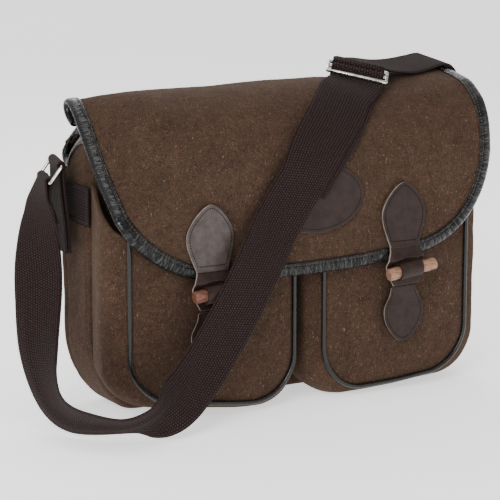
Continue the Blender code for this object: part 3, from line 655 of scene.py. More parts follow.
@dataclass
class Plate:
    """Flat piece of leather from closed outlines in x and z, cut into a fine grid so that it can bend."""

    outline: Sequence[tuple[float, float]]
    thickness: float
    matrix: Matrix
    holes: Sequence[Sequence[tuple[float, float]]] = ()
    bevel: float = 0.5
    smoothness: int = 5
    bend: Callable[[Vector], Vector] | None = None
    cell: float = 4.0
    edge: Finish | None = None

    def mesh(self, name: str) -> bpy.types.Mesh:
        """Build the plate's mesh in the row frame."""
        curve = bpy.data.curves.new(name, "CURVE")
        curve.dimensions = "2D"
        curve.fill_mode = "BOTH"
        curve.extrude = (self.thickness / 2.0 - self.bevel) * MM
        curve.bevel_depth = self.bevel * MM
        curve.bevel_resolution = 3
        curve.offset = -self.bevel * MM
        for loop in (self.outline, *self.holes):
            fine = [Vector((x, z, 0.0)) for x, z in loop]
            if self.smoothness > 1:
                fine = spline(fine, self.smoothness, closed=True)
            line = curve.splines.new("POLY")
            line.points.add(len(fine) - 1)
            for point, place in zip(line.points, fine):
                point.co = (place.x * MM, place.y * MM, 0.0, 1.0)
            line.use_cyclic_u = True
        holder = bpy.data.objects.new(name + "_outline", curve)
        bpy.context.scene.collection.objects.link(holder)
        bpy.context.view_layer.update()
        depsgraph = bpy.context.evaluated_depsgraph_get()
        plate = bpy.data.meshes.new_from_object(holder.evaluated_get(depsgraph))
        bpy.data.objects.remove(holder)
        work = bmesh.new()
        work.from_mesh(plate)
        bpy.data.meshes.remove(plate)
        bmesh.ops.remove_doubles(work, verts=work.verts[:], dist=1e-6)
        span = [[f(v.co[k] for v in work.verts) for k in (0, 1)] for f in (min, max)]
        for k in (0, 1):
            cuts = int((span[1][k] - span[0][k]) / (self.cell * MM))
            for i in range(1, cuts):
                spot = Vector((0.0, 0.0, 0.0))
                spot[k] = span[0][k] + (span[1][k] - span[0][k]) * i / cuts
                aim = Vector((0.0, 0.0, 0.0))
                aim[k] = 1.0
                bmesh.ops.bisect_plane(work, geom=work.verts[:] + work.edges[:] + work.faces[:],
                                       plane_co=spot, plane_no=aim, dist=1e-7)
        work.normal_update()
        for face in work.faces:
            face.material_index = int(self.edge is not None and abs(face.normal.z) < 0.75)
        stand = Matrix.Rotation(math.pi / 2.0, 4, "X")
        for vert in work.verts:
            place = (stand @ vert.co) / MM
            if self.bend:
                place = self.bend(place)
            vert.co = to_metres(self.matrix @ place)
        return finished_mesh(work, name)

    def show(self, name: str, finish: Finish, nodes: Sequence[str] = ()) -> bpy.types.Object:
        """Put the plate in the scene, sharp only where its faces turn hard."""
        made = show(self.mesh(name), name, finish, nodes)
        made.data.set_sharp_from_angle(angle=math.radians(40.0))
        if self.edge:
            made.data.materials.append(look(self.edge))
        return made


def tube(name: str, places: Sequence[Vector], radius: float | Callable[[int], float], finish: Finish,
         closed: bool = False, sides: int = 14, nodes: Sequence[str] = ()) -> bpy.types.Object:
    """Round tube along places in layout millimetres."""
    count = len(places)
    work = bmesh.new()
    rings, normal = [], None
    for i, place in enumerate(places):
        before = places[(i - 1) % count] if closed else places[max(i - 1, 0)]
        after = places[(i + 1) % count] if closed else places[min(i + 1, count - 1)]
        travel = (after - before).normalized()
        if normal is None:
            normal = travel.orthogonal()
        normal = (normal - travel * normal.dot(travel)).normalized()
        other = travel.cross(normal)
        size = radius(i) if callable(radius) else radius
        rings.append([work.verts.new(to_metres(place + normal * (size * math.cos(math.tau * k / sides))
                                               + other * (size * math.sin(math.tau * k / sides))))
                      for k in range(sides)])
    for k in range(count if closed else count - 1):
        low, high = rings[k], rings[(k + 1) % count]
        for i in range(sides):
            j = (i + 1) % sides
            work.faces.new((low[i], low[j], high[j], high[i]))
    if not closed:
        work.faces.new(list(reversed(rings[0])))
        work.faces.new(rings[-1])
    return show(finished_mesh(work, name), name, finish, nodes)


@dataclass
class Stitching:
    """Rows of thread stitches, each a small capsule sunk into its surface."""

    pitch: float = 3.0
    length: float = 2.2
    radius: float = 0.35
    work: bmesh.types.BMesh = field(default_factory=bmesh.new)

    def run(self, places: Sequence[Vector], normals: Sequence[Vector], slant: float = 0.0) -> None:
        """Sew along places.

        Args:
            places: the line on the surface, in layout millimetres.
            normals: outward normal at each place.
            slant: turn of each stitch off the line, in radians.
        """
        stations = even_stations(places, self.pitch)
        lengths = np.cumsum([0.0] + [(b - a).length for a, b in zip(places, places[1:])])
        for i, (a, b) in enumerate(zip(stations, stations[1:])):
            at = (i + 0.5) / (len(stations) - 1) * lengths[-1]
            normal = normals[min(int(np.searchsorted(lengths, at)), len(normals) - 1)]
            travel = (b - a).normalized()
            travel = Matrix.Rotation(slant, 3, normal) @ travel
            self.stitch((a + b) / 2.0, travel, normal)

    def stitch(self, centre: Vector, travel: Vector, normal: Vector) -> None:
        """Add one stitch."""
        side = travel.cross(normal).normalized()
        normal = side.cross(travel).normalized()
        rings = []
        for share, swell, dip in ((-1.0, 0.3, -0.35), (-0.75, 0.85, 0.0), (0.0, 1.0, 0.2), (0.75, 0.85, 0.0),
                                  (1.0, 0.3, -0.35)):
            spot = centre + travel * (share * self.length / 2.0) + normal * (dip * self.radius)
            rings.append([self.work.verts.new(to_metres(
                spot + side * (swell * self.radius * math.cos(math.tau * k / 6))
                + normal * (swell * self.radius * math.sin(math.tau * k / 6)))) for k in range(6)])
        for low, high in zip(rings, rings[1:]):
            for k in range(6):
                self.work.faces.new((low[k], low[(k + 1) % 6], high[(k + 1) % 6], high[k]))
        self.work.faces.new(list(reversed(rings[0])))
        self.work.faces.new(rings[-1])

    def show(self, name: str, finish: Finish) -> bpy.types.Object:
        """Put the stitches in the scene."""
        return show(finished_mesh(self.work, name), name, finish)


@dataclass
class Fuzz:
    """Loose fibres lying on a piece's skin."""

    count: int
    length: tuple[float, float]
    radius: float
    lift: float
    seed: int

    def show(self, host: bpy.types.Object, name: str, finish: Finish) -> bpy.types.Object:
        """Scatter fibres over the host by area, the same each time."""
        depsgraph = bpy.context.evaluated_depsgraph_get()
        host_mesh = host.evaluated_get(depsgraph).to_mesh()
        host_mesh.calc_loop_triangles()
        points = np.empty(len(host_mesh.vertices) * 3)
        host_mesh.vertices.foreach_get("co", points)
        points = points.reshape(-1, 3)
        corners = np.empty(len(host_mesh.loop_triangles) * 3, dtype=np.int32)
        host_mesh.loop_triangles.foreach_get("vertices", corners)
        corners = corners.reshape(-1, 3)
        a, b, c = (points[corners[:, k]] for k in range(3))
        cross = np.cross(b - a, c - a)
        area = np.linalg.norm(cross, axis=1)
        rng = np.random.default_rng(self.seed)
        picks = rng.choice(len(area), self.count, p=area / area.sum())
        u, v = rng.random((2, self.count))
        flip = u + v > 1.0
        u[flip], v[flip] = 1.0 - u[flip], 1.0 - v[flip]
        roots = a[picks] + (b - a)[picks] * u[:, None] + (c - a)[picks] * v[:, None]
        normals = cross[picks] / np.maximum(area[picks], 1e-12)[:, None]
        aims = rng.normal(size=(self.count, 3))
        aims -= normals * (aims * normals).sum(1)[:, None]
        aims /= np.linalg.norm(aims, axis=1)[:, None]
        sides = np.cross(normals, aims)
        sizes = rng.uniform(*self.length, self.count) * MM
        bends = rng.normal(0.0, 0.35, self.count)
        lifts = np.abs(rng.normal(0.0, self.lift, self.count)) * MM
        stations = ((0.0, 0.0, 0.6), (0.4, 0.8, 1.0), (0.75, 1.0, 0.8), (1.0, 0.7, 0.25))
        verts = []
        for share, rise, swell in stations:
            centre = (roots + aims * (sizes * share)[:, None] + sides * (sizes * bends * share ** 2)[:, None]
                      + normals * (lifts * rise)[:, None])
            for k in range(3):
                angle = math.tau * k / 3
                verts.append(centre + (sides * math.cos(angle) + normals * math.sin(angle))
                             * (self.radius * MM * swell))
        verts = np.stack(verts, axis=1).reshape(-1, 3)
        pattern = []
        for s in range(len(stations) - 1):
            for k in range(3):
                low, high = 3 * s, 3 * (s + 1)
                pattern.append((low + k, low + (k + 1) % 3, high + (k + 1) % 3, high + k))
        pattern = np.array(pattern)
        faces = (pattern[None] + 12 * np.arange(self.count)[:, None, None]).reshape(-1, 4)
        mesh = bpy.data.meshes.new(name)
        mesh.from_pydata(verts.tolist(), [], faces.tolist())
        mesh.shade_smooth()
        return show(mesh, name, finish)


# sizes shared with the solids, in millimetres

WOOL = 3.0
LEATHER = 2.4
TAB_LEATHER = 2.0
STRAP = 2.6
GAP = 0.35


@dataclass
class Body:
    """Back, gussets and front of the main bag, a soft rounded box of felt."""

    front_height: float = 269.0
    back_height: float = 276.0
    rear_dip: float = 243.0
    levels: Table = (
        # z, half_width, front_y, back_y, corner_radius
        (0.0, 156.0, 9.0, 52.0, 9.0), (1.5, 163.0, 5.5, 58.0, 9.0), (6.0, 171.0, 2.5, 62.0, 9.0),
        (14.0, 179.0, 1.0, 65.0, 9.0), (26.0, 188.0, 1.0, 66.5, 9.0), (44.0, 197.0, 1.0, 67.0, 9.0),
        (66.0, 202.0, 1.0, 67.5, 9.0), (100.0, 203.0, 1.0, 68.0, 9.0), (160.0, 203.5, 1.0, 68.0, 9.0),
        (205.0, 203.0, 1.0, 68.0, 9.0), (232.0, 201.5, 5.0, 67.0, 9.0), (246.0, 200.5, 9.0, 65.5, 7.5),
        (258.0, 199.5, 12.0, 57.5, 5.5), (266.0, 199.0, 14.0, 47.0, 5.0), (276.0, 198.5, 16.0, 36.0, 4.5),
    )
    gutter: Table = (
        # the mouth's leather: depth under the rim, distance outward
        (6.4, 0.6), (5.6, 0.85), (4.2, 0.95), (2.4, 1.0), (0.6, 0.9), (-0.9, 0.1), (-1.5, -1.5),
        (-0.9, -3.1), (0.6, -3.9), (2.4, -4.0), (4.2, -3.95), (5.6, -3.85), (6.4, -3.6),
    )
    long_side: int = 72
    short_side: int = 24
    corner: int = 7

    def ring(self, z: float) -> Row:
        """Places round the rounded rectangle at a height."""
        half, front, back, radius = table_spline(self.levels, z)
        middle, depth = (front + back) / 2.0, (back - front) / 2.0
        found = []
        sides = ((0.0, 1, -1, self.long_side), (90.0, 1, 1, self.short_side),
                 (180.0, -1, 1, self.long_side), (270.0, -1, -1, self.short_side))
        for turn, sx, sy, count in sides:
            for i in range(count):
                t = -1.0 + 2.0 * (i + 0.5) / count
                if turn in (0.0, 180.0):
                    found.append(Vector((sx * t * (half - radius), middle + sy * depth, z)))
                else:
                    found.append(Vector((-sy * -half if turn == 90.0 else -half,
                                         middle + (t if turn == 90.0 else -t) * (depth - radius), z)))
            centre_x = (half - radius) * (1 if turn in (0.0, 90.0) else -1)
            centre_y = middle + (depth - radius) * (1 if turn in (90.0, 180.0) else -1)
            for i in range(self.corner):
                angle = math.radians(turn - 90.0 + 90.0 * (i + 0.5) / self.corner)
                found.append(Vector((centre_x + radius * math.cos(angle),
                                     centre_y + radius * math.sin(angle), z)))
        return found

    def rim_height(self, y: float) -> float:
        """Height of the mouth: high in front, dipping to the rear of each side, highest at the back."""
        depth = (y - 5.0) / 62.0
        side = self.front_height - (self.front_height - self.rear_dip) * min(max(depth, 0.0) / 0.66, 1.0) ** 3
        if depth < 0.7:
            return side
        return side + (self.back_height - side) * min((depth - 0.7) / 0.3, 1.0) ** 2.6

    def rows(self) -> Rows:
        """Rows of the outer skin, each column climbing to its own rim."""
        heights = [0.0, 0.6, 1.5, 3.0, 5.0, 7.5, 10.5, 14.0, 18.0, 22.0, 26.0, 31.0, 37.0, 44.0]
        heights += [44.0 + (205.0 - 44.0) * i / 54 for i in range(1, 55)]
        rows = [self.ring(z) for z in heights]
        rims = [self.rim_height(p.y) for p in self.ring(232.0)]
        for k in range(1, 25):
            rings: dict[float, Row] = {}
            row = []
            for i, rim in enumerate(rims):
                z = round(205.0 + k / 24.0 * (rim - 205.0), 3)
                if z not in rings:
                    rings[z] = self.ring(z)
                row.append(rings[z][i])
            rows.append(row)
        return [[self.soften(p) for p in row] for row in rows]

    def soften(self, place: Vector) -> Vector:
        """Give the cloth its seams and slack."""
        x, y, z = place
        out = Vector((math.copysign(1.0, x) if abs(x) > 190.0 else 0.0, 0.0, 0.0))
        seam = math.exp(-((y - 53.0) / 1.6) ** 2) + 0.8 * math.exp(-((y - 10.0) / 1.6) ** 2)
        moved = Vector(place)
        if out.x:
            slack = 1.8 * ripple(place, 55.0, 3.0) + 0.6 * ripple(place, 17.0, 4.0)
            fade = smooth(z / 30.0) * smooth((230.0 - z) / 60.0)
            moved += out * (slack * fade - 1.1 * seam * smooth(z / 25.0) - 0.8 * fade)
        elif y > 62.0:
            moved += Vector((0.0, 1.0, 0.0)) * (1.2 * ripple(place, 70.0, 6.0) * smooth(z / 30.0)
                                                * smooth((230.0 - z) / 40.0) - 0.4)
        return moved

    def build(self) -> bpy.types.Object:
        """Show the body and the leather round its mouth."""
        rows = self.rows()
        felt = Skin(rows, closed=True, thickness=WOOL, offset=-1.0, floor=True, rim=0.9)
        made = felt.show("body_felt", FELT, ["body"])
        Fuzz(4200, (2.0, 5.0), 0.035, 0.35, 11).show(made, "body_fuzz", WOOL_FIBRE)
        self.bind(rows)
        return made

    def bind(self, rows: Rows) -> None:
        """Leather gutter over the sides and front of the mouth, with its stitches."""
        rim, below = rows[-1], rows[-2]
        count = len(rim)
        start = next(i for i in range(count // 2, count) if rim[i].x < -190.0 and rim[i].y < 47.0)
        stop = next(i for i in range(count // 2) if rim[i].x > 190.0 and rim[i].y > 47.0)
        order = list(range(start, count)) + list(range(0, stop))
        found, line, normals = [], [], []
        for i in order:
            up = (rim[i] - below[i]).normalized()
            along = (rim[(i + 1) % count] - rim[i - 1]).normalized()
            out = along.cross(up).normalized()
            section = []
            for inset, side in self.gutter:
                crease = 0.28 * ripple(rim[i], 2.6, 8.0) * smooth((inset - 0.5) / 3.0)
                section.append(rim[i] - up * inset + out * (side + crease))
            found.append(section)
            line.append(rim[i] - up * 4.6 + out * 2.0)
            normals.append(out)
        Skin(found, thickness=1.0, offset=1.0, rim=0.3).show(
            "mouth_binding_leather", GATHERED, ["mouth_binding"])
        sewn = Stitching(pitch=3.4, length=2.3, radius=0.3)
        sewn.run(line, normals)
        sewn.show("mouth_binding_stitches", BLACK_THREAD)


@dataclass
class Flap:
    """Felt flap from the hinge over the ridge to the front hem, bound with leather."""

    middle: Table = (
        # y, z
        (34.5, 277.55), (40.0, 283.0), (44.5, 289.5), (44.5, 297.0), (36.0, 303.0), (20.0, 306.0),
        (0.0, 306.5), (-20.0, 303.0), (-37.0, 295.0), (-50.0, 284.0), (-59.5, 271.0), (-65.5, 258.0),
        (-69.0, 246.0), (-70.0, 236.0), (-70.0, 210.0), (-70.0, 184.0), (-70.0, 158.0), (-70.0, 133.0),
    )
    left: Table = (
        # y, z
        (34.5, 279.0), (39.5, 282.0), (44.5, 287.0), (47.0, 293.5), (44.0, 298.5), (36.0, 297.0),
        (27.0, 291.0), (19.0, 283.0), (9.0, 272.0), (-2.0, 259.0), (-14.0, 245.0), (-28.0, 231.0),
        (-44.0, 217.0), (-57.0, 205.0), (-65.5, 193.0), (-69.5, 177.0), (-70.0, 156.0), (-70.0, 133.0),
    )
    right: Table = (
        # y, z
        (34.5, 279.0), (40.0, 283.0), (44.5, 290.0), (44.0, 299.0), (36.0, 306.0), (22.0, 308.5),
        (0.0, 305.0), (-20.0, 301.5), (-34.0, 298.0), (-45.0, 291.0), (-55.0, 282.0), (-62.0, 269.0),
        (-65.5, 254.0), (-67.0, 238.0), (-68.5, 216.0), (-70.0, 190.0), (-70.0, 160.0), (-70.0, 133.0),
    )
    blend: float = 62.0
    half_width: float = 204.0
    side: Table = (
        # step, half_width of the free edge
        (0.0, 201.0), (9.0, 203.5), (12.8, 204.0), (13.3, 203.4), (13.7, 202.0), (14.0, 200.2), (14.3, 197.8),
        (14.7, 193.3), (15.07, 187.2), (15.4, 180.0), (15.7, 171.5), (15.95, 162.5), (16.18, 152.5),
        (16.37, 142.0), (16.52, 131.0),
    )
    gutter: Table = (
        # the binding's front: inset from the edge, height over the cloth, depth of the gathers
        (9.2, -0.35, 0.0), (8.7, 0.05, 0.25), (8.0, 0.12, 0.35), (7.3, -0.12, 0.3), (6.6, -0.12, 0.45),
        (5.8, 0.25, 0.6), (4.6, 0.5, 0.5), (3.2, 0.55, 0.35), (1.8, 0.45, 0.2), (0.5, 0.15, 0.1),
    )
    hem_end: float = 131.0
    hem_middle: float = 16.9
    hem_sag: float = 0.38
    last_step: float = 17.0

    def __post_init__(self) -> None:
        """Keep the three side profiles as points."""
        tables = (self.left, self.middle, self.right)
        self.profiles = [tuple(Vector((0.0, *place)) for place in rows) for rows in tables]

    def point(self, x: float, step: float) -> Vector:
        """Point of the middle surface at x, step counting the profile's rows."""
        low = smooth(1.0 - (x + self.half_width) / self.blend)
        high = smooth(1.0 - (self.half_width - x) / self.blend)
        shares = (low, 1.0 - low - high, high)
        inside = min(max(step, 0.0), self.last_step)
        found = Vector((x, 0.0, 0.0))
        for share, profile in zip(shares, self.profiles):
            if share:
                found += share * spline_point(profile, inside)
        over = step - inside
        if over:
            first = 0 if over < 0.0 else len(self.middle) - 2
            for share, profile in zip(shares, self.profiles):
                found += share * over * (profile[first + 1] - profile[first])
        press = 6.0 * bump_at(x, 112.0, 62.0) * bump_at(step, 6.0, 3.6)
        return found - Vector((0.0, 0.0, press))

    def normal(self, x: float, step: float) -> Vector:
        """Outward normal of the middle surface."""
        step = min(max(step, 0.1), 16.9)
        down = self.point(x, step + 0.05) - self.point(x, step - 0.05)
        over = self.point(x + 1.0, step) - self.point(x - 1.0, step)
        return down.cross(over).normalized()

    def hem_step(self, x: float) -> float:
        """Step of the hem at x: lowest in the middle."""
        return self.hem_middle - self.hem_sag * (abs(x) / self.hem_end) ** 2.2

    def side_line(self) -> Row:
        """Free edge of one side from the hinge down, as half width and step."""
        marks = [Vector((half, step, 0.0)) for step, half in self.side]
        marks.insert(1, Vector((202.6, 4.5, 0.0)))
        return spline(marks, 60)

    def edge(self) -> list[tuple[float, float]]:
        """Free edge from the left hinge to the right one, as x and step, about a millimetre apart."""
        left = [(-p.x, p.y) for p in self.side_line()]
        hem = [(x, self.hem_step(x)) for x in np.linspace(-130.0, 130.0, 261).tolist()]
        whole = left + hem + [(-x, step) for x, step in reversed(left)]
        places = [self.point(x, min(step, 17.05)) for x, step in whole]
        lengths = np.cumsum([0.0] + [(b - a).length for a, b in zip(places, places[1:])])
        want = np.linspace(0.0, lengths[-1], int(lengths[-1]) + 1)
        xs = np.interp(want, lengths, [x for x, _ in whole])
        steps = np.interp(want, lengths, [step for _, step in whole])
        return list(zip(xs.tolist(), steps.tolist()))

    def slack(self, x: float, step: float, inset: float) -> float:
        """How far the felt stands off its middle surface: puckers at the seam, soft waves inside."""
        place = Vector((x, 24.0 * step, 0.0))
        pucker = 0.55 * ripple(place, 9.0, 2.0) * smooth(1.0 - abs(inset - 12.0) / 16.0)
        wave = 1.5 * ripple(place, 75.0, 1.0) + 0.5 * ripple(place, 26.0, 5.0)
        inner = smooth((inset - 8.0) / 30.0) * smooth(step / 3.0)
        return pucker + wave * inner

    def rows(self) -> Rows:
        """Rows of the felt between its two free edges, then to the hem."""
        fine = self.side_line()
        spots, last = [], None
        for spot in fine:
            place = self.point(-spot.x, spot.y)
            if last is None or (place - last).length > 2.2 or spot is fine[-1]:
                spots.append(spot)
                last = place
        rows = []
        for spot in spots:
            row = []
            for even in np.linspace(-1.0, 1.0, 141).tolist():
                share = math.sin(even * math.pi / 2.0) * 0.3 + even * 0.7
                x = share * spot.x
                inset = min(spot.x - abs(x), (self.hem_step(x) - spot.y) * 24.0 + 4.0)
                row.append(self.point(x, spot.y) + self.normal(x, spot.y) * self.slack(x, spot.y, inset))
            rows.append(row)
        low = self.side[-1][0]
        last = rows[-1]
        for k in range(1, 6):
            row = []
            for p in last:
                step = low + (self.hem_step(p.x) - low) * k / 5.0
                row.append(self.point(p.x, step) + self.normal(p.x, step) * self.slack(p.x, step, 4.0))
            rows.append(row)
        return rows

    def build(self) -> bpy.types.Object:
        """Show the felt, its binding and the stitches."""
        made = Skin(self.rows(), thickness=WOOL, offset=0.0).show("flap_felt", FELT, ["flap"])
        Fuzz(7000, (2.0, 5.0), 0.035, 0.35, 21).show(made, "flap_fuzz", WOOL_FIBRE)
        Fuzz(420, (2.0, 5.5), 0.05, 0.25, 22).show(made, "flap_kemp", KEMP_FIBRE)
        self.bind()
        return made

    def bind(self) -> None:
        """Leather gutter round the free edge, gathered along its stitches."""
        edge = self.edge()
        reach = WOOL / 2.0 + GAP
        rows, line, normals = [], [], []
        run = 0.0
        for i, (x, step) in enumerate(edge):
            before, after = edge[max(i - 2, 0)], edge[min(i + 2, len(edge) - 1)]
            here = min(step, 16.9)
            pitch = (self.point(x, here + 0.05) - self.point(x, here - 0.05)).length / 0.1
            turn = Vector((-(after[1] - before[1]) * pitch, after[0] - before[0])).normalized()
            if abs(x) > 200.0 and step < 13.2:
                turn = Vector((math.copysign(1.0, x), 0.0))

            def on_cloth(inset: float, side: float) -> Vector:
                """Place inside the edge, off the middle surface."""
                at_x, at_step = x - turn.x * inset, step - turn.y * inset / pitch
                return self.point(at_x, at_step) + self.normal(at_x, at_step) * side

            rim = on_cloth(0.0, 0.0)
            outward = (rim - on_cloth(2.0, 0.0)).normalized()
            normal = self.normal(x, step)
            run += 1.0
            fold = ripple(Vector((run, 0.0, 0.0)), 2.3, 4.0) + 0.7 * ripple(Vector((run, 9.0, 0.0)), 4.5, 7.0)
            front = []
            for inset, stand, gather in self.gutter:
                lean = ripple(Vector((run + inset * 0.55, inset * 0.5, 0.0)), 2.4, 4.0)
                front.append((inset, reach + 0.25 + stand + gather * (0.9 * lean + 0.3 * fold)))
            section = [on_cloth(inset, side) for inset, side in front]
            for angle in (60.0, 25.0, 0.0, -25.0, -60.0):
                a = math.radians(angle)
                section.append(rim + outward * (0.4 + (reach + 0.2) * math.cos(a))
                               + normal * (reach * math.sin(a)))
            section += [on_cloth(inset, -side) for inset, side in reversed(front[::2])]
            rows.append(section)
            line.append(on_cloth(7.0, reach + 1.45))
            normals.append(normal)
        Skin(rows, thickness=1.2, offset=1.0, rim=0.35).show(
            "flap_binding_leather", GATHERED, ["flap_binding"])
        sewn = Stitching(pitch=3.3, length=2.2, radius=0.3)
        sewn.run(line, normals)
        sewn.show("flap_binding_stitches", BLACK_THREAD)


@dataclass
class Pocket:
    """Bellows pocket of felt with leather piping round its face."""

    name: str
    side: float
    centre: float
    face_half: float
    lift: Table
    seed: float
    top: float = 182.0
    lift_height: float = 130.0
    gusset: Table = (
        # y, inner_half_width, outer_half_width, bottom_z, corner_radius, outer_top_z
        (0.6, 97.5, 97.5, 4.0, 40.0, 226.0), (-14.0, 100.0, 102.5, 1.0, 42.0, 223.0),
        (-34.0, 101.5, 107.0, 0.0, 44.0, 207.0), (-46.0, 99.5, 103.5, 1.5, 46.0, 195.0),
    )
    front: Table = (
        # y, width over the face's half width, bottom_z, corner_radius, outer_top_z
        (-53.0, 8.5, 5.0, 46.0, 187.0), (-58.0, 0.0, 11.0, 44.0, 182.0),
    )
    face: Table = (
        # share of the outline, forward puff
        (0.0, 5.8), (0.3, 5.8), (0.6, 5.4), (0.86, 3.6), (0.97, 1.5), (1.0, 0.0),
    )
    piping: float = 2.2

    def __post_init__(self) -> None:
        """Join gusset and front in one table, its key the distance out from the body."""
        start = self.gusset[0][0]
        table = [(start - y, y, inner, outer, *rest) for y, inner, outer, *rest in self.gusset]
        for y, wider, *rest in self.front:
            half = self.face_half + wider
            table.append((start - y, y, half, half, *rest))
        self.rings = tuple(table)
        self.depth = self.rings[-1][0]

    def outline(self, key: float) -> Row:
        """U outline from the left top down and round to the right top, `key` out from the body."""
        y, inner, outer, bottom, radius, high = table_spline(self.rings, key)
        ends = ((outer, high), (inner, self.top))
        sides = []
        for half, top in ends if self.side < 0.0 else reversed(ends):
            side = [(half, top + (bottom + radius - top) * i / 34) for i in range(34)]
            for i in range(21):
                angle = math.radians(90.0 * i / 20)
                side.append((half - radius + radius * math.cos(angle),
                             bottom + radius - radius * math.sin(angle)))
            sides.append(side)
        left, right = [(-x, z) for x, z in sides[0]], sides[1][::-1]
        start, stop = left[-1][0], right[0][0]
        middle = [(start + (stop - start) * t, bottom) for t in np.linspace(0.03, 0.97, 30).tolist()]
        found = []
        for x, z in left + middle + right:
            rise = table_spline(self.lift, x)[0] * (1.0 - smooth((z - bottom) / self.lift_height))
            found.append(Vector((x, y, z + rise)))
        return found

    def rows(self) -> Rows:
        """Rows from the body out over the gusset and across the face."""
        rows = []
        for key in np.linspace(0.0, self.depth, 32).tolist():
            row = []
            for place in self.outline(key):
                away = Vector((place.x, 0.0, min(place.z - 60.0, 0.0))).normalized()
                slack = 1.6 * ripple(place + Vector((self.centre, 0.0, 0.0)), 34.0, self.seed)
                slack += 0.5 * ripple(place, 12.0, self.seed + 2.0)
                fade = smooth(key / 14.0) * smooth((self.depth - key) / 10.0) * smooth((place.z - 4.0) / 30.0)
                seam = 0.9 * math.exp(-((key - self.depth + 4.1) / 1.5) ** 2)
                row.append(place + away * (slack * fade - seam - 1.0 * fade))
            rows.append(row)
        last = self.outline(self.depth)
        for share in (0.988, 0.975, 0.96, 0.94, 0.915, 0.89, 0.86, *np.linspace(0.82, 0.06, 30).tolist()):
            puff = table_spline(self.face, float(share))[0]
            row = []
            for place in last:
                z = self.top - (self.top - place.z) * share
                lift = puff * (0.45 + 0.55 * smooth((self.top - z) / 90.0))
                spot = Vector((place.x * share, place.y - lift, z))
                wave = 1.3 * ripple(spot + Vector((self.centre, 0.0, 0.0)), 48.0, self.seed + 4.0)
                pucker = 0.5 * ripple(spot, 8.0, self.seed + 6.0) * bump_at(share, 0.95, 0.07)
                row.append(spot + Vector((0.0, wave * smooth((0.97 - share) / 0.2) + pucker + 0.3, 0.0)))
            rows.append(row)
        return rows

    def build(self) -> None:
        """Show the felt and its piping."""
        shift = Vector((self.centre, 0.0, 0.0))
        rows = [[p + shift for p in row] for row in self.rows()]
        apex = Vector((self.centre, self.rings[-2][1] - 7.6, self.top))
        made = Skin(rows, thickness=WOOL, offset=-1.0, apex=apex).show(f"{self.name}_felt", FELT, [self.name])
        Fuzz(3300, (2.0, 5.0), 0.035, 0.35, int(self.seed) + 31).show(made, f"{self.name}_fuzz", WOOL_FIBRE)
        Fuzz(200, (2.0, 5.5), 0.05, 0.25, int(self.seed) + 41).show(made, f"{self.name}_kemp", KEMP_FIBRE)
        ring = self.outline(self.depth)
        out = (self.piping + 0.2) * 0.75
        places = []
        for i, place in enumerate(ring):
            along = (ring[min(i + 1, len(ring) - 1)] - ring[max(i - 1, 0)]).normalized()
            sideways = Vector((along.z, 0.0, -along.x))
            if sideways.dot(place - Vector((0.0, place.y, 110.0))) < 0.0:
                sideways = -sideways
            places.append(place + sideways * out + Vector((0.0, -out, 0.0)) + shift)
        places = even_stations(places, 1.2)

        def girth(i: int) -> float:
            """Radius of the piping at a station."""
            return self.piping * (1.0 + 0.05 * ripple(places[i], 3.0, self.seed))

        tube(f"{self.name}_piping_leather", places, girth, EDGING, nodes=[f"{self.name}_piping"])


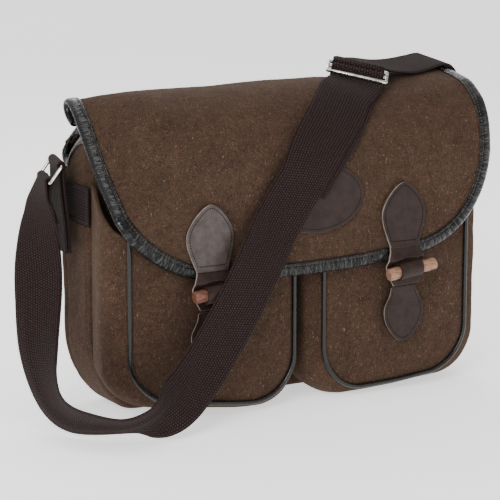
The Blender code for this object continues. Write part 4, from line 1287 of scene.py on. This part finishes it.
@dataclass
class Closure:
    """Leather tab with a loop, wooden toggle and the tab that holds it on the pocket."""

    side: str
    x: float
    seed: float
    toggle_y: float = -83.2
    toggle_z: float = 127.3
    toggle_radius: float = 6.2
    toggle_length: float = 54.6
    toggle_shift: float = 1.2
    stick_radius: float = 6.0
    plate_y: float = -75.2
    plate_lean: float = math.radians(-1.1)
    loop_shift: float = -2.2
    teardrop_shift: float = -1.6
    visor_top: float = 34.0
    visor_curve: float = 0.017
    foot_bulge: float = 2.6
    wrap_half: float = 12.4
    stitch_slant: float = 0.12
    tilt: float = 0.12
    crown: float = 0.6
    short: float = 3.3
    hide: Hide = SADDLE
    wood: Hardwood = WOOD
    outline: Table = (
        # x, z from the toggle's middle
        (0.0, 88.4), (6.0, 85.9), (12.0, 80.9), (17.6, 74.3), (22.0, 66.9), (24.0, 60.0), (23.8, 52.0),
        (21.5, 43.0), (18.3, 34.0), (16.7, 26.0), (17.4, 20.0), (19.4, 14.0), (21.2, 6.0), (20.6, -2.0),
        (18.4, -8.6), (15.6, -13.6), (13.8, -15.4), (4.0, -15.6),
    )
    hole: Table = (
        # x, z from the toggle's middle
        (0.0, 12.4), (6.0, 12.0), (10.4, 10.2), (12.8, 6.6), (13.5, 0.0), (13.2, -6.0), (10.6, -8.8),
        (4.0, -9.6),
    )
    upper_teardrop: Table = (
        # x, z from the toggle's middle
        (0.0, 89.2), (6.0, 86.8), (12.1, 81.8), (18.2, 74.7), (22.8, 67.0), (24.9, 60.0), (24.7, 52.0),
        (22.3, 43.0), (19.1, 34.0), (17.2, 27.0), (16.9, 24.6), (16.4, 24.1), (12.0, 23.7), (4.0, 23.6),
    )
    lower_teardrop: Table = (
        # x, z from the row frame's floor
        (0.0, 52.8), (6.6, 54.9), (11.2, 58.9), (16.2, 64.9), (20.7, 73.0), (22.8, 81.0), (22.2, 89.0),
        (18.2, 97.0), (15.2, 104.0), (14.2, 107.2), (13.6, 108.2), (9.0, 108.6), (3.0, 108.6),
    )
    pocket_tab: Table = (
        # y, z, half_width
        (-68.6, 53.0, 2.0), (-68.6, 55.0, 6.5), (-68.7, 59.0, 11.0), (-68.8, 65.0, 16.0), (-68.9, 73.0, 20.5),
        (-69.0, 81.0, 22.6), (-69.0, 89.0, 22.0), (-69.1, 97.0, 18.0), (-69.9, 104.0, 14.6),
        (-71.3, 109.0, 13.2), (-73.9, 113.3, 12.6), (-75.4, 117.8, 12.4),
    )

    @staticmethod
    def mirrored(points: Table) -> list[tuple[float, float]]:
        """Closed outline from the half on the right of the middle line."""
        return list(points) + [(-x, z) for x, z in reversed(points) if x > 0.0]

    def build(self) -> None:
        """Show the closure's pieces."""
        self.upper_tab()
        self.toggle()
        self.lower_tab()

    @staticmethod
    def seam_line(outline: Sequence[tuple[float, float]], inset: float, low: float, high: float) -> Row:
        """Line at an inset inside a closed outline, in x and z.

        Args:
            outline: the closed outline.
            inset: how far inside it the line runs.
            low: the line keeps above this height.
            high: the line keeps below this height.

        Returns:
            The line's places as x, 0, z.
        """
        ring = spline([Vector((x, 0.0, z)) for x, z in outline], 4, closed=True)
        count = len(ring)
        middle = sum(ring, Vector()) / count
        found = []
        for i, place in enumerate(ring):
            run = (ring[(i + 1) % count] - ring[i - 1]).normalized()
            inward = Vector((-run.z, 0.0, run.x))
            inward = inward if inward.dot(middle - place) > 0.0 else -inward
            found.append(place + inward * inset)
        return [place for place in found if low < place.z < high]

    def bulge(self, x: float, z: float) -> float:
        """How far the loop's leather arches forward, over the toggle and at its foot."""
        visor = self.visor_curve * max(self.visor_top - z, 0.0) ** 2 * smooth((z - 4.0) / 8.0)
        return visor * (1.0 - 0.6 * (abs(x) / 20.0) ** 2) + self.foot_bulge * smooth((-3.0 - z) / 6.0)

    def loop_place(self, spot: Vector) -> Vector:
        """Bend the loop's flat leather; x and z count from the toggle's middle."""
        x, y, z = spot
        aside = self.loop_shift + self.teardrop_shift * smooth((z - 14.0) / 22.0)
        dish = self.crown * (abs(x) / 24.0) ** 2 * smooth((z - 24.0) / 30.0)
        swell = 0.5 * ripple(Vector((x, z, 0.0)), 30.0, self.seed)
        rise = self.tilt * 0.5 * x * smooth((24.0 - z) / 12.0)
        drop = self.short * smooth((z - 10.0) / 26.0)
        return Vector((x + aside, y + dish + swell - self.bulge(x, z), z + rise - drop))

    def teardrop_place(self, spot: Vector) -> Vector:
        """Bend the teardrop that lies on the loop's leather."""
        return self.loop_place(spot) + FORWARD * 1.95

    def pocket_place(self, spot: Vector) -> Vector:
        """Bend the teardrop on the pocket; z counts from the floor."""
        x, y, z = spot
        aside = self.loop_shift * smooth((z - 98.0) / 12.0)
        lean = 70.75 + 0.016 * max(z - 53.0, 0.0) + 0.35 * (1.0 - (x / 24.0) ** 2) + 0.09 * max(z - 97.0, 0.0)
        return Vector((x + aside, y - lean, z))

    def upper_tab(self) -> None:
        """Teardrop on the flap, sewn over the loop that goes round the toggle."""
        place = Matrix.Translation(Vector((self.x, self.plate_y, self.toggle_z)))
        place = place @ Matrix.Rotation(self.plate_lean, 4, "X")
        loop = Plate(self.mirrored(self.outline), LEATHER, place, (self.mirrored(self.hole),),
                     bend=self.loop_place, cell=2.5, edge=CUT_EDGE)
        loop.show(f"{self.side}_flap_tab_leather", SADDLE, [f"{self.side}_flap_tab"])
        teardrop = self.mirrored(self.upper_teardrop)
        Plate(teardrop, 1.4, place, bend=self.teardrop_place, bevel=0.4, cell=2.5, edge=CUT_EDGE).show(
            f"{self.side}_flap_teardrop", self.hide)
        sides = self.seam_line(teardrop, 3.1, 30.5, 99.0)
        start = next(i for i in range(len(sides)) if sides[i - 1].x * sides[i].x < 0.0 and sides[i].z < 45.0)
        sides = sides[start:] + sides[:start]
        bottom = [sides[-1].lerp(sides[0], t) for t in np.linspace(0.04, 0.96, 12).tolist()]
        sewn = Stitching(pitch=2.6, length=1.7, radius=0.52)
        for line in (sides, bottom):
            laid = [place @ self.teardrop_place(spot + FORWARD * 0.66) for spot in line]
            sewn.run(laid, [FORWARD] * len(laid), self.stitch_slant)
        sewn.show(f"{self.side}_flap_tab_stitches", DARK_THREAD)

    def toggle(self) -> None:
        """Round stick of wood, its ends cut and its skin uneven."""
        half = self.toggle_length / 2.0
        centre = Vector((self.x + self.toggle_shift, self.toggle_y, self.toggle_z))
        turn = Matrix.Rotation(-self.tilt, 4, "Y")
        work = bmesh.new()
        shape = [(-half, 0.0), (-half, 3.0), (-half, 4.9), (-half + 0.4, 5.4), (-half + 1.1, 5.6)]
        shape += [(x, self.stick_radius) for x in np.linspace(-half + 2.4, half - 2.4, 44)]
        shape += [(half - 1.1, 5.6), (half - 0.4, 5.4), (half, 4.9), (half, 3.0), (half, 0.0)]
        verts = [work.verts.new(Vector((along, 0.0, radius))) for along, radius in shape]
        edges = [work.edges.new(pair) for pair in zip(verts, verts[1:])]
        bmesh.ops.spin(work, geom=verts + edges, cent=(0, 0, 0), axis=(1, 0, 0), angle=math.tau, steps=32,
                       use_merge=True)
        bmesh.ops.remove_doubles(work, verts=work.verts[:], dist=1e-3)
        for vert in work.verts:
            x, y, z = vert.co
            knots = 0.10 * ripple(Vector((x * 0.5, y, z)), 3.0, self.seed)
            free = smooth((abs(x) - 12.5) / 3.0)
            vert.co = Vector((x + 0.25 * ripple(vert.co, 4.0, self.seed) * free,
                              y * (1.0 + knots * free), z * (1.0 + knots * free)))
            vert.co = to_metres(centre + (turn @ vert.co))
        made = show(finished_mesh(work, f"{self.side}_toggle_wood"), f"{self.side}_toggle_wood", self.wood,
                    [f"{self.side}_toggle"])
        made.data.set_sharp_from_angle(angle=math.radians(50.0))

    def lower_tab(self) -> None:
        """Teardrop tab on the pocket, its neck wrapped round the toggle's middle."""
        path = [Vector(row) for row in self.pocket_tab]
        radius = self.toggle_radius + GAP + TAB_LEATHER / 2.0
        for i in range(17):
            angle = math.radians(-15.0 + 300.0 * i / 16.0)
            path.append(Vector((self.toggle_y + radius * math.cos(angle),
                                self.toggle_z + radius * math.sin(angle), self.wrap_half)))
        rows = []
        for y, z, half in spline(path, 4):
            slope = self.tilt * smooth((z - 95.0) / 20.0)
            row = []
            for share in np.linspace(-1.0, 1.0, 25).tolist():
                rise = share * half * slope
                puff = -0.35 * (1.0 - share * share) * smooth((106.0 - z) / 20.0)
                aside = self.loop_shift * smooth((z - 98.0) / 12.0)
                row.append(Vector((self.x + share * half + aside, y + puff, z + rise)))
            rows.append(row)
        Skin(rows, thickness=TAB_LEATHER, offset=0.0, rim=0.45).show(
            f"{self.side}_pocket_tab_leather", SADDLE, [f"{self.side}_pocket_tab"])
        stand = Matrix.Translation(Vector((self.x, 0.0, 0.0)))
        teardrop = self.mirrored(self.lower_teardrop)
        Plate(teardrop, 1.2, stand, bend=self.pocket_place, bevel=0.35, edge=CUT_EDGE).show(
            f"{self.side}_pocket_teardrop", SADDLE)
        line = self.seam_line(teardrop, 3.0, 40.0, 105.0)
        start = next(i for i in range(len(line)) if line[i - 1].x * line[i].x < 0.0 and line[i].z > 80.0)
        line = line[start:] + line[:start]
        laid = [stand @ self.pocket_place(spot + FORWARD * 0.62) for spot in line]
        sewn = Stitching(pitch=2.5, length=1.6, radius=0.4)
        sewn.run(laid, [FORWARD] * len(laid), self.stitch_slant)
        sewn.show(f"{self.side}_pocket_tab_stitches", DARK_THREAD)


@dataclass
class Carrier:
    """Wire ring, its webbing tab and the patch sewn on the gusset."""

    side: str
    length: float = 54.5
    width: float = 19.0
    wire: float = 1.6
    rear: tuple[float, float, float] = (-212.0, 62.0, 243.5)
    front: tuple[float, float, float] = (-226.0, 10.0, 243.5)
    droop: float = math.radians(54.0)
    tab_width: float = 48.0
    patch: tuple[float, float] = (62.0, 38.0)
    patch_centre: tuple[float, float] = (28.0, 205.0)

    def __post_init__(self) -> None:
        """Set the inner bar's ends and the way the ring hangs."""
        self.sign = -1.0 if self.side == "left" else 1.0
        self.start = Vector((-self.sign * self.rear[0], *self.rear[1:]))
        self.stop = Vector((-self.sign * self.front[0], *self.front[1:]))
        self.bar = (self.stop - self.start).normalized()
        out = Vector((-self.bar.y, self.bar.x, 0.0))
        self.out = out if out.x * self.sign > 0.0 else -out
        self.middle = (self.start + self.stop) / 2.0
        up = Vector((0.0, 0.0, 1.0))
        hang = self.out * math.cos(self.droop) - up * math.sin(self.droop)
        self.reach = hang if self.side == "left" else up

    def build(self) -> None:
        """Show the carrier's pieces."""
        self.ring()
        self.tab()
        self.sewn_patch()

    def ring(self) -> None:
        """Rectangular ring of round wire."""
        corner = 2.4
        centre = self.middle + self.reach * self.width / 2.0
        places = []
        for long_sign, wide_sign, start in ((1, -1, -90), (1, 1, 0), (-1, 1, 90), (-1, -1, 180)):
            for i in range(9):
                angle = math.radians(start + 90.0 * i / 8)
                a = long_sign * (self.length / 2.0 - corner) + corner * math.cos(angle)
                b = wide_sign * (self.width / 2.0 - corner) + corner * math.sin(angle)
                places.append(centre + self.bar * a + self.reach * b)
        tube(f"{self.side}_ring_wire", places, self.wire, NICKEL, closed=True, sides=18,
             nodes=[f"{self.side}_ring"])

    def tab(self) -> None:
        """Webbing over the inner bar, both ends down the gusset."""
        radius = self.wire + GAP + STRAP / 2.0
        up = Vector((0.0, 0.0, 1.0))
        half = (STRAP + GAP) / 2.0 + 0.35
        drops = (84.0, 58.0, 32.0, 12.0, 6.0)
        centres = [self.middle - self.out * half - up * drop for drop in drops]
        centres += wrap(self.middle, self.out, up, radius, 200.0, -20.0, 9)
        centres += [self.middle + self.out * half - up * drop for drop in reversed(drops)]
        rows = strap_rows(centres, [self.bar] * len(centres), [self.tab_width] * len(centres))
        for row in rows:
            for place, share in zip(row, (0.0, 0.5, 1.0)):
                place.x -= self.sign * 7.0 * share * smooth((self.middle.z - place.z) / 84.0)
        Band(rows, steps=4).show(f"{self.side}_ring_tab_webbing", WEBBING, [f"{self.side}_ring_tab"])

    def sewn_patch(self) -> None:
        """Webbing patch with a box of stitches."""
        long, high = self.patch
        x = self.sign * (203.5 + GAP + 0.9)
        y, z = self.patch_centre
        rows = [[Vector((x, y + a * long / 2.0, z + b * high / 2.0)) for b in (-1.0, 0.0, 1.0)]
                for a in (-1.0, -0.5, 0.0, 0.5, 1.0)]
        Band(rows, thickness=1.8, steps=8).show(f"{self.side}_side_patch_webbing", WEBBING,
                                                [f"{self.side}_side_patch"])
        sewn = Stitching(pitch=3.2, length=2.4, radius=0.35)
        out = Vector((self.sign, 0.0, 0.0))
        corners = [(-27.0, -15.5), (27.0, -15.5), (27.0, 15.5), (-27.0, 15.5), (-27.0, -15.5)]
        for (a, b), (c, d) in zip(corners, corners[1:]):
            middle = Vector((x + self.sign * 0.95, *self.patch_centre))
            sewn.run([middle + Vector((0.0, a, b)), middle + Vector((0.0, c, d))], [out, out])
        sewn.show(f"{self.side}_side_patch_stitches", COTTON_FIBRE)


def wrap(centre: Vector, u: Vector, v: Vector, radius: float, start: float, end: float, count: int) -> Row:
    """Arc of centres round a bar, in the plane of u and v, angles in degrees."""
    angles = [math.radians(start + (end - start) * i / (count - 1)) for i in range(count)]
    return [centre + u * (radius * math.cos(a)) + v * (radius * math.sin(a)) for a in angles]


def strap_rows(centres: Sequence[Vector], acrosses: Sequence[Vector], widths: Sequence[float]) -> Rows:
    """Rows of three places across a band, square to its run."""
    rows = []
    for i, centre in enumerate(centres):
        travel = (centres[min(i + 1, len(centres) - 1)] - centres[max(i - 1, 0)]).normalized()
        across = (acrosses[i] - travel * acrosses[i].dot(travel)).normalized()
        half = across * widths[i] / 2.0
        rows.append([centre - half, centre.copy(), centre + half])
    return rows


@dataclass
class Straps:
    """Shoulder strap with its loop and tail, the slider and the short strap."""

    flap: Flap
    left: Carrier
    right: Carrier
    width: float = 52.0
    ring_fit: float = 45.0
    edges: Table = (
        # outer edge x, y, z, inner edge x, y, z: from the left ring round the front and up
        (-237.5, 64.0, 211.0, -238.0, 14.5, 209.0), (-248.0, 58.0, 190.0, -232.0, 10.0, 184.0),
        (-258.0, 50.0, 152.0, -229.0, 7.0, 153.0), (-262.0, 42.0, 115.0, -234.0, -2.0, 119.0),
        (-264.0, 30.0, 78.0, -246.0, -18.0, 82.0), (-262.0, 8.0, 44.0, -258.0, -42.0, 53.0),
        (-259.0, -18.0, 22.0, -262.0, -67.0, 42.0), (-250.0, -46.0, 11.0, -260.0, -90.0, 38.0),
        (-234.0, -69.0, 8.0, -248.0, -111.0, 36.0), (-211.0, -86.0, 8.0, -233.0, -125.0, 34.0),
        (-187.0, -97.0, 10.0, -218.0, -129.0, 39.0), (-162.0, -102.0, 15.0, -202.0, -118.0, 44.0),
        (-136.0, -100.0, 27.0, -182.0, -103.0, 51.0), (-115.0, -98.0, 44.0, -163.0, -98.0, 70.0),
        (-96.0, -96.0, 68.0, -144.0, -96.0, 93.0), (-71.0, -94.5, 103.0, -121.0, -94.5, 127.0),
        (-48.0, -91.0, 139.0, -99.0, -92.0, 162.0), (-21.0, -80.0, 176.0, -71.0, -80.5, 199.0),
        (4.0, -77.5, 213.0, -47.0, -77.5, 236.0), (29.0, -74.5, 249.0, -20.0, -68.0, 269.0),
        (52.0, -63.0, 272.0, 6.0, -54.0, 287.0), (76.0, -48.0, 291.0, 30.0, -34.0, 305.0),
    )
    short_run: Table = (
        # centre x, y, z, outer edge x, y, z
        (101.0, 4.0, 320.0, 119.0, -14.0, 315.0), (114.0, 10.0, 317.5, 123.0, -14.0, 313.0),
        (131.0, 12.0, 314.5, 133.0, -14.0, 311.0), (151.0, 13.0, 313.0, 148.0, -12.0, 309.0),
        (172.0, 20.0, 314.0, 163.0, -3.0, 311.0), (192.0, 27.0, 315.0, 182.0, 4.0, 313.5),
        (208.0, 32.0, 313.0, 203.0, 7.0, 314.0), (219.0, 35.0, 301.0, 219.0, 10.0, 302.0),
        (222.5, 36.0, 284.0, 228.0, 11.0, 284.0),
    )
    pitch: float = 10.5
    bar: float = 3.2
    slot: float = 55.2
    thread: Table = (
        # along the strap, height over the slider's middle: up through, over the middle bar and back down
        (-19.0, -4.0), (-13.5, -3.4), (-9.5, -3.3), (-5.6, -2.2), (-3.6, 0.0), (-2.4, 2.4), (0.0, 3.3),
        (2.4, 2.3), (3.5, -0.4), (2.4, -3.8), (-1.5, -6.2), (-7.0, -6.9), (-13.0, -7.2),
    )

    def __post_init__(self) -> None:
        """Set the slider's centre and its three directions."""
        self.centre = Vector((83.0, -16.0, 315.0))
        self.across = Vector((0.82, -0.533, -0.209)).normalized()
        out = Vector((0.0, -0.36, 0.93))
        self.out = (out - self.across * out.dot(self.across)).normalized()
        self.travel = self.out.cross(self.across).normalized()

    def drape(self, place: Vector, clearance: float) -> Vector:
        """Push a place out of the flap until it clears the cloth's middle surface."""
        x = max(-self.flap.half_width, min(self.flap.half_width, place.x))
        spots = [(self.flap.point(x, k * 0.25), k * 0.25) for k in range(66)]
        near, step = min(spots, key=lambda s: math.hypot(place.y - s[0].y, place.z - s[0].z))
        normal = self.flap.normal(x, max(step, 0.1))
        height = (place - near).dot(normal)
        return place + normal * max(clearance - height, 0.0)

    @staticmethod
    def row_normal(rows: Rows, i: int) -> Vector:
        """Outward normal of a band at row i, away from the bag."""
        normal = (rows[i][1] - rows[i - 1][1]).cross(rows[i][2] - rows[i][0]).normalized()
        return normal if normal.dot(Vector((-0.7, -0.5, 0.3))) > 0.0 else -normal

    def build(self) -> None:
        """Show both straps and the slider."""
        self.shoulder()
        self.short()
        self.slider()

    def shoulder(self) -> None:
        """Long strap: from the left ring round the front, up to the slider and back under itself."""
        layer = STRAP + GAP
        up = Vector((0.0, 0.0, 1.0))
        outers = [Vector(row[:3]) for row in self.edges]
        inners = [Vector(row[3:]) for row in self.edges]
        spine = spline([(a + b) / 2.0 for a, b in zip(outers, inners)], 2)
        across_spine = spline([(b - a).normalized() for a, b in zip(outers, inners)], 2)
        bar = self.left.bar
        outer = self.left.middle + self.left.reach * self.left.width
        out = Vector((bar.y, -bar.x, 0.0)).normalized()
        over = wrap(outer, out, up, self.left.wire + GAP + STRAP / 2.0 + 0.4, 190.0, -10.0, 9)
        centres = over + spine
        acrosses = [bar] * len(over) + across_spine
        widths = [self.ring_fit] * len(over)
        widths += [min(self.width, self.ring_fit + 1.5 * i) for i in range(len(spine))]
        centres += [self.centre + self.travel * along + self.out * height for along, height in self.thread]
        acrosses += [-self.across] * len(self.thread)
        widths += [self.width] * len(self.thread)
        rows = strap_rows(centres, acrosses, widths)
        first, last = len(over), len(over) + len(spine)
        above = WOOL / 2.0 + GAP + STRAP / 2.0
        for i in range(first, last):
            tail_part = smooth((i - (last - 11)) / 3.0)
            for k, place in enumerate(rows[i]):
                on_label = 2.3 if abs(place.x - 5.0) < 58.0 and 165.0 < place.z < 252.0 else 0.0
                if place.z > 150.0 and place.x > -110.0:
                    rows[i][k] = self.drape(place, above + 2.0 + on_label + tail_part * (layer + 1.4))
        for back, shift in ((1, 3.0), (3, 6.0), (5, 8.0), (7, 9.0)):
            i = last - back
            side = (rows[i][0] - rows[i][2]).normalized()
            inward = self.row_normal(rows, i) * (layer + 1.1)
            rows.append([place - inward + side * shift for place in rows[i]])
        folded = [[place - self.row_normal(rows, i) * (layer + 0.5) for place in rows[i]]
                  for i in (first + 2, first)]
        whole = folded + rows

        def crease(at: float, share: float) -> float:
            """Lengthwise fold of the low loop, and a slight crown all along."""
            run = bump_at(at, 26.0, 13.0)
            fold = 0.22 + 0.5 * smooth((at - 22.0) / 14.0)
            return -2.8 * run * math.exp(-((share - fold) / 0.1) ** 2) + 0.5 * math.sin(math.pi * share)

        made = Band(whole, shape=crease).show("shoulder_strap_webbing", WEBBING, ["shoulder_strap"])
        Fuzz(2200, (1.0, 2.6), 0.03, 0.4, 51).show(made, "shoulder_strap_fuzz", COTTON_FIBRE)

    def short(self) -> None:
        """Short strap from the slider's far bar over the flap's back corner to the right ring."""
        lift = self.bar / 2.0 + GAP + STRAP / 2.0
        up = Vector((0.0, 0.0, 1.0))
        bar, out = self.right.bar, self.right.out
        ring_bar = self.right.middle + up * self.right.width
        far_bar = self.centre + self.travel * self.pitch
        centres = [far_bar + self.travel * along - self.out * lift for along in (9.0, 4.5)]
        centres += wrap(far_bar, self.travel, self.out, lift, 270.0, 90.0, 7)
        centres.append(far_bar + self.travel * 5.0 + self.out * (lift - 0.1))
        acrosses = [-self.across] * len(centres)
        widths = [self.width] * len(centres)
        first = len(centres)
        for row in self.short_run:
            centre = Vector(row[:3])
            centres.append(centre)
            acrosses.append((centre - Vector(row[3:])).normalized())
            widths.append(self.width)
        last = len(centres)
        down = wrap(ring_bar, out, up, self.right.wire + GAP + STRAP / 2.0, 20.0, -200.0, 9)
        down += [ring_bar - out * 3.4 + up * 14.0, ring_bar - out * 2.6 + up * 26.0]
        centres += down
        acrosses += [-bar] * len(down)
        widths += [self.ring_fit] * len(down)
        rows = strap_rows(centres, acrosses, widths)
        above = WOOL / 2.0 + GAP + STRAP / 2.0
        for i in range(first, last):
            for k, place in enumerate(rows[i]):
                if place.x < 212.0:
                    over_edge = 1.6 if place.x > 184.0 else 0.0
                    rows[i][k] = self.drape(place, above + 0.9 + over_edge)
        made = Band(rows).show("short_strap_webbing", WEBBING, ["short_strap"])

    def slider(self) -> None:
        """Three-bar slider of plated metal."""
        long, wide = self.slot / 2.0 + self.bar, self.pitch + self.bar / 2.0
        outline = [(-long + 1.5, -wide), (long - 1.5, -wide), (long, -wide + 1.5), (long, wide - 1.5),
                   (long - 1.5, wide), (-long + 1.5, wide), (-long, wide - 1.5), (-long, -wide + 1.5)]
        near, far, slot = self.bar / 2.0, self.pitch - self.bar / 2.0, self.slot / 2.0
        holes = ([(-slot, near), (slot, near), (slot, far), (-slot, far)],
                 [(-slot, -far), (slot, -far), (slot, -near), (-slot, -near)])
        axes = Matrix((self.across, -self.out, self.travel)).transposed().to_4x4()
        place = Matrix.Translation(self.centre) @ axes
        Plate(outline, self.bar, place, holes, bevel=0.9, smoothness=1, cell=60.0).show(
            "strap_slider_plate", NICKEL, ["strap_slider"])


@dataclass
class LabelPatch:
    """Bare oval of leather with a line of stitches."""

    centre: tuple[float, float, float] = (5.0, -72.7, 205.0)
    half_width: float = 50.0
    half_height: float = 33.0
    thickness: float = 1.4
    seam_inset: float = 3.4

    def build(self) -> None:
        """Show the leather and its stitches."""
        place = Matrix.Translation(Vector(self.centre))
        turns = np.linspace(0.0, math.tau, 96, endpoint=False).tolist()
        oval = [(self.half_width * math.cos(a), self.half_height * math.sin(a)) for a in turns]
        Plate(oval, self.thickness, place, bevel=0.35, smoothness=1, edge=CUT_EDGE).show(
            "label_patch_leather", SADDLE, ["label_patch"])
        wide, high = self.half_width - self.seam_inset, self.half_height - self.seam_inset
        line = [place @ Vector((wide * math.cos(a), -0.78, high * math.sin(a)))
                for a in np.linspace(0.0, math.tau, 200).tolist()]
        sewn = Stitching(pitch=3.0, length=2.1, radius=0.32)
        sewn.run(line, [FORWARD] * len(line))
        sewn.show("label_patch_stitches", DARK_THREAD)


# studio

class Studio:
    """Pale floor, soft lights and the camera."""

    target = Vector((-0.0583, -0.0805, 0.1576))
    azimuth = -30.0
    elevation = 12.0
    distance = 2.2
    lens = 166.3
    lamps = (
        # name, place in metres, size, power
        ("key", (-1.7, -1.5, 1.3), 1.0, 41.0),
        ("low", (-0.7, -2.3, 0.2), 1.4, 13.0),
        ("fill", (1.5, -1.8, 0.5), 1.6, 10.5),
        ("rim", (0.4, 1.2, 1.6), 1.0, 13.0),
        ("top", (-0.2, -0.4, 2.2), 1.3, 14.0),
    )

    def build(self) -> None:
        """Set the whole studio."""
        self.floor()
        self.lights()
        self.camera()

    def floor(self) -> None:
        """Pale floor that curves up into a backdrop far behind."""
        work = bmesh.new()
        near, far, radius = -4.0, 3.0, 1.5
        profile = [(near, 0.0), (far, 0.0)]
        profile += [(far + radius * math.sin(a), radius - radius * math.cos(a))
                    for a in np.linspace(0.15, math.pi / 2, 12).tolist()]
        profile.append((4.5, 5.0))
        left = [work.verts.new((-6.0, y, z)) for y, z in profile]
        right = [work.verts.new((6.0, y, z)) for y, z in profile]
        for i in range(len(profile) - 1):
            work.faces.new((left[i], right[i], right[i + 1], left[i + 1]))
        mesh = bpy.data.meshes.new("studio_floor")
        work.to_mesh(mesh)
        work.free()
        mesh.shade_smooth()
        graph = Graph("studio_paper")
        graph.surface(base_color=linear("#f4f4f3"), roughness=0.9, emission_color=linear("#ffffff"),
                      emission_strength=0.9)
        mesh.materials.append(graph.material)
        made = bpy.data.objects.new("studio_floor", mesh)
        bpy.context.scene.collection.objects.link(made)

    def lights(self) -> None:
        """Large soft key on the left, weaker lamps low, right, behind and above, and a pale world."""
        for name, place, size, power in self.lamps:
            light = bpy.data.lights.new(name, "AREA")
            light.size = size
            light.energy = power
            made = bpy.data.objects.new(name, light)
            made.location = place
            aim = Vector((0.0, -0.03, 0.15)) - Vector(place)
            made.rotation_euler = aim.to_track_quat("-Z", "Y").to_euler()
            bpy.context.scene.collection.objects.link(made)
        world = bpy.data.worlds.new("studio")
        world.use_nodes = True
        world.node_tree.nodes["Background"].inputs[0].default_value = (1.0, 1.0, 1.0, 1.0)
        world.node_tree.nodes["Background"].inputs[1].default_value = 0.5
        bpy.context.scene.world = world

    def camera(self) -> None:
        """Camera at the picture's angle."""
        a, e = math.radians(self.azimuth), math.radians(self.elevation)
        back = Vector((math.sin(a) * math.cos(e), -math.cos(a) * math.cos(e), math.sin(e)))
        data = bpy.data.cameras.new("camera")
        data.lens = self.lens
        data.sensor_width = 36.0
        made = bpy.data.objects.new("camera", data)
        made.location = self.target + back * self.distance
        made.rotation_euler = (-back).to_track_quat("-Z", "Y").to_euler()
        bpy.context.scene.collection.objects.link(made)
        bpy.context.scene.camera = made


def main() -> None:
    """Dress the bag and set the studio."""
    logging.basicConfig(level=logging.INFO)
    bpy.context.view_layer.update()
    flap = Flap()
    left, right = Carrier("left"), Carrier("right")
    Body().build()
    flap.build()
    left_lift = ((-108.0, 20.0), (-58.0, 14.0), (0.0, 6.0), (44.0, 1.0), (108.0, 0.0))
    right_lift = ((-108.0, 3.0), (-50.0, 0.0), (0.0, 1.0), (40.0, 4.0), (108.0, 7.0))
    Pocket("left_pocket", -1.0, -103.5, 87.0, left_lift, 1.0).build()
    Pocket("right_pocket", 1.0, 102.0, 81.5, right_lift, 7.0).build()
    LabelPatch().build()
    # the left flap tab's teardrop takes the brown leather with the painted highlight
    Closure("left", -111.0, 3.0, toggle_z=128.0, stick_radius=5.8, tilt=0.05, crown=2.2, short=6.0,
            hide=SATIN_PAINTED_HIGHLIGHT, wood=RED_WOOD).build()
    Closure("right", 104.0, 9.0).build()
    left.build()
    right.build()
    Straps(flap, left, right).build()
    Studio().build()


if __name__ == "__main__":
    main()
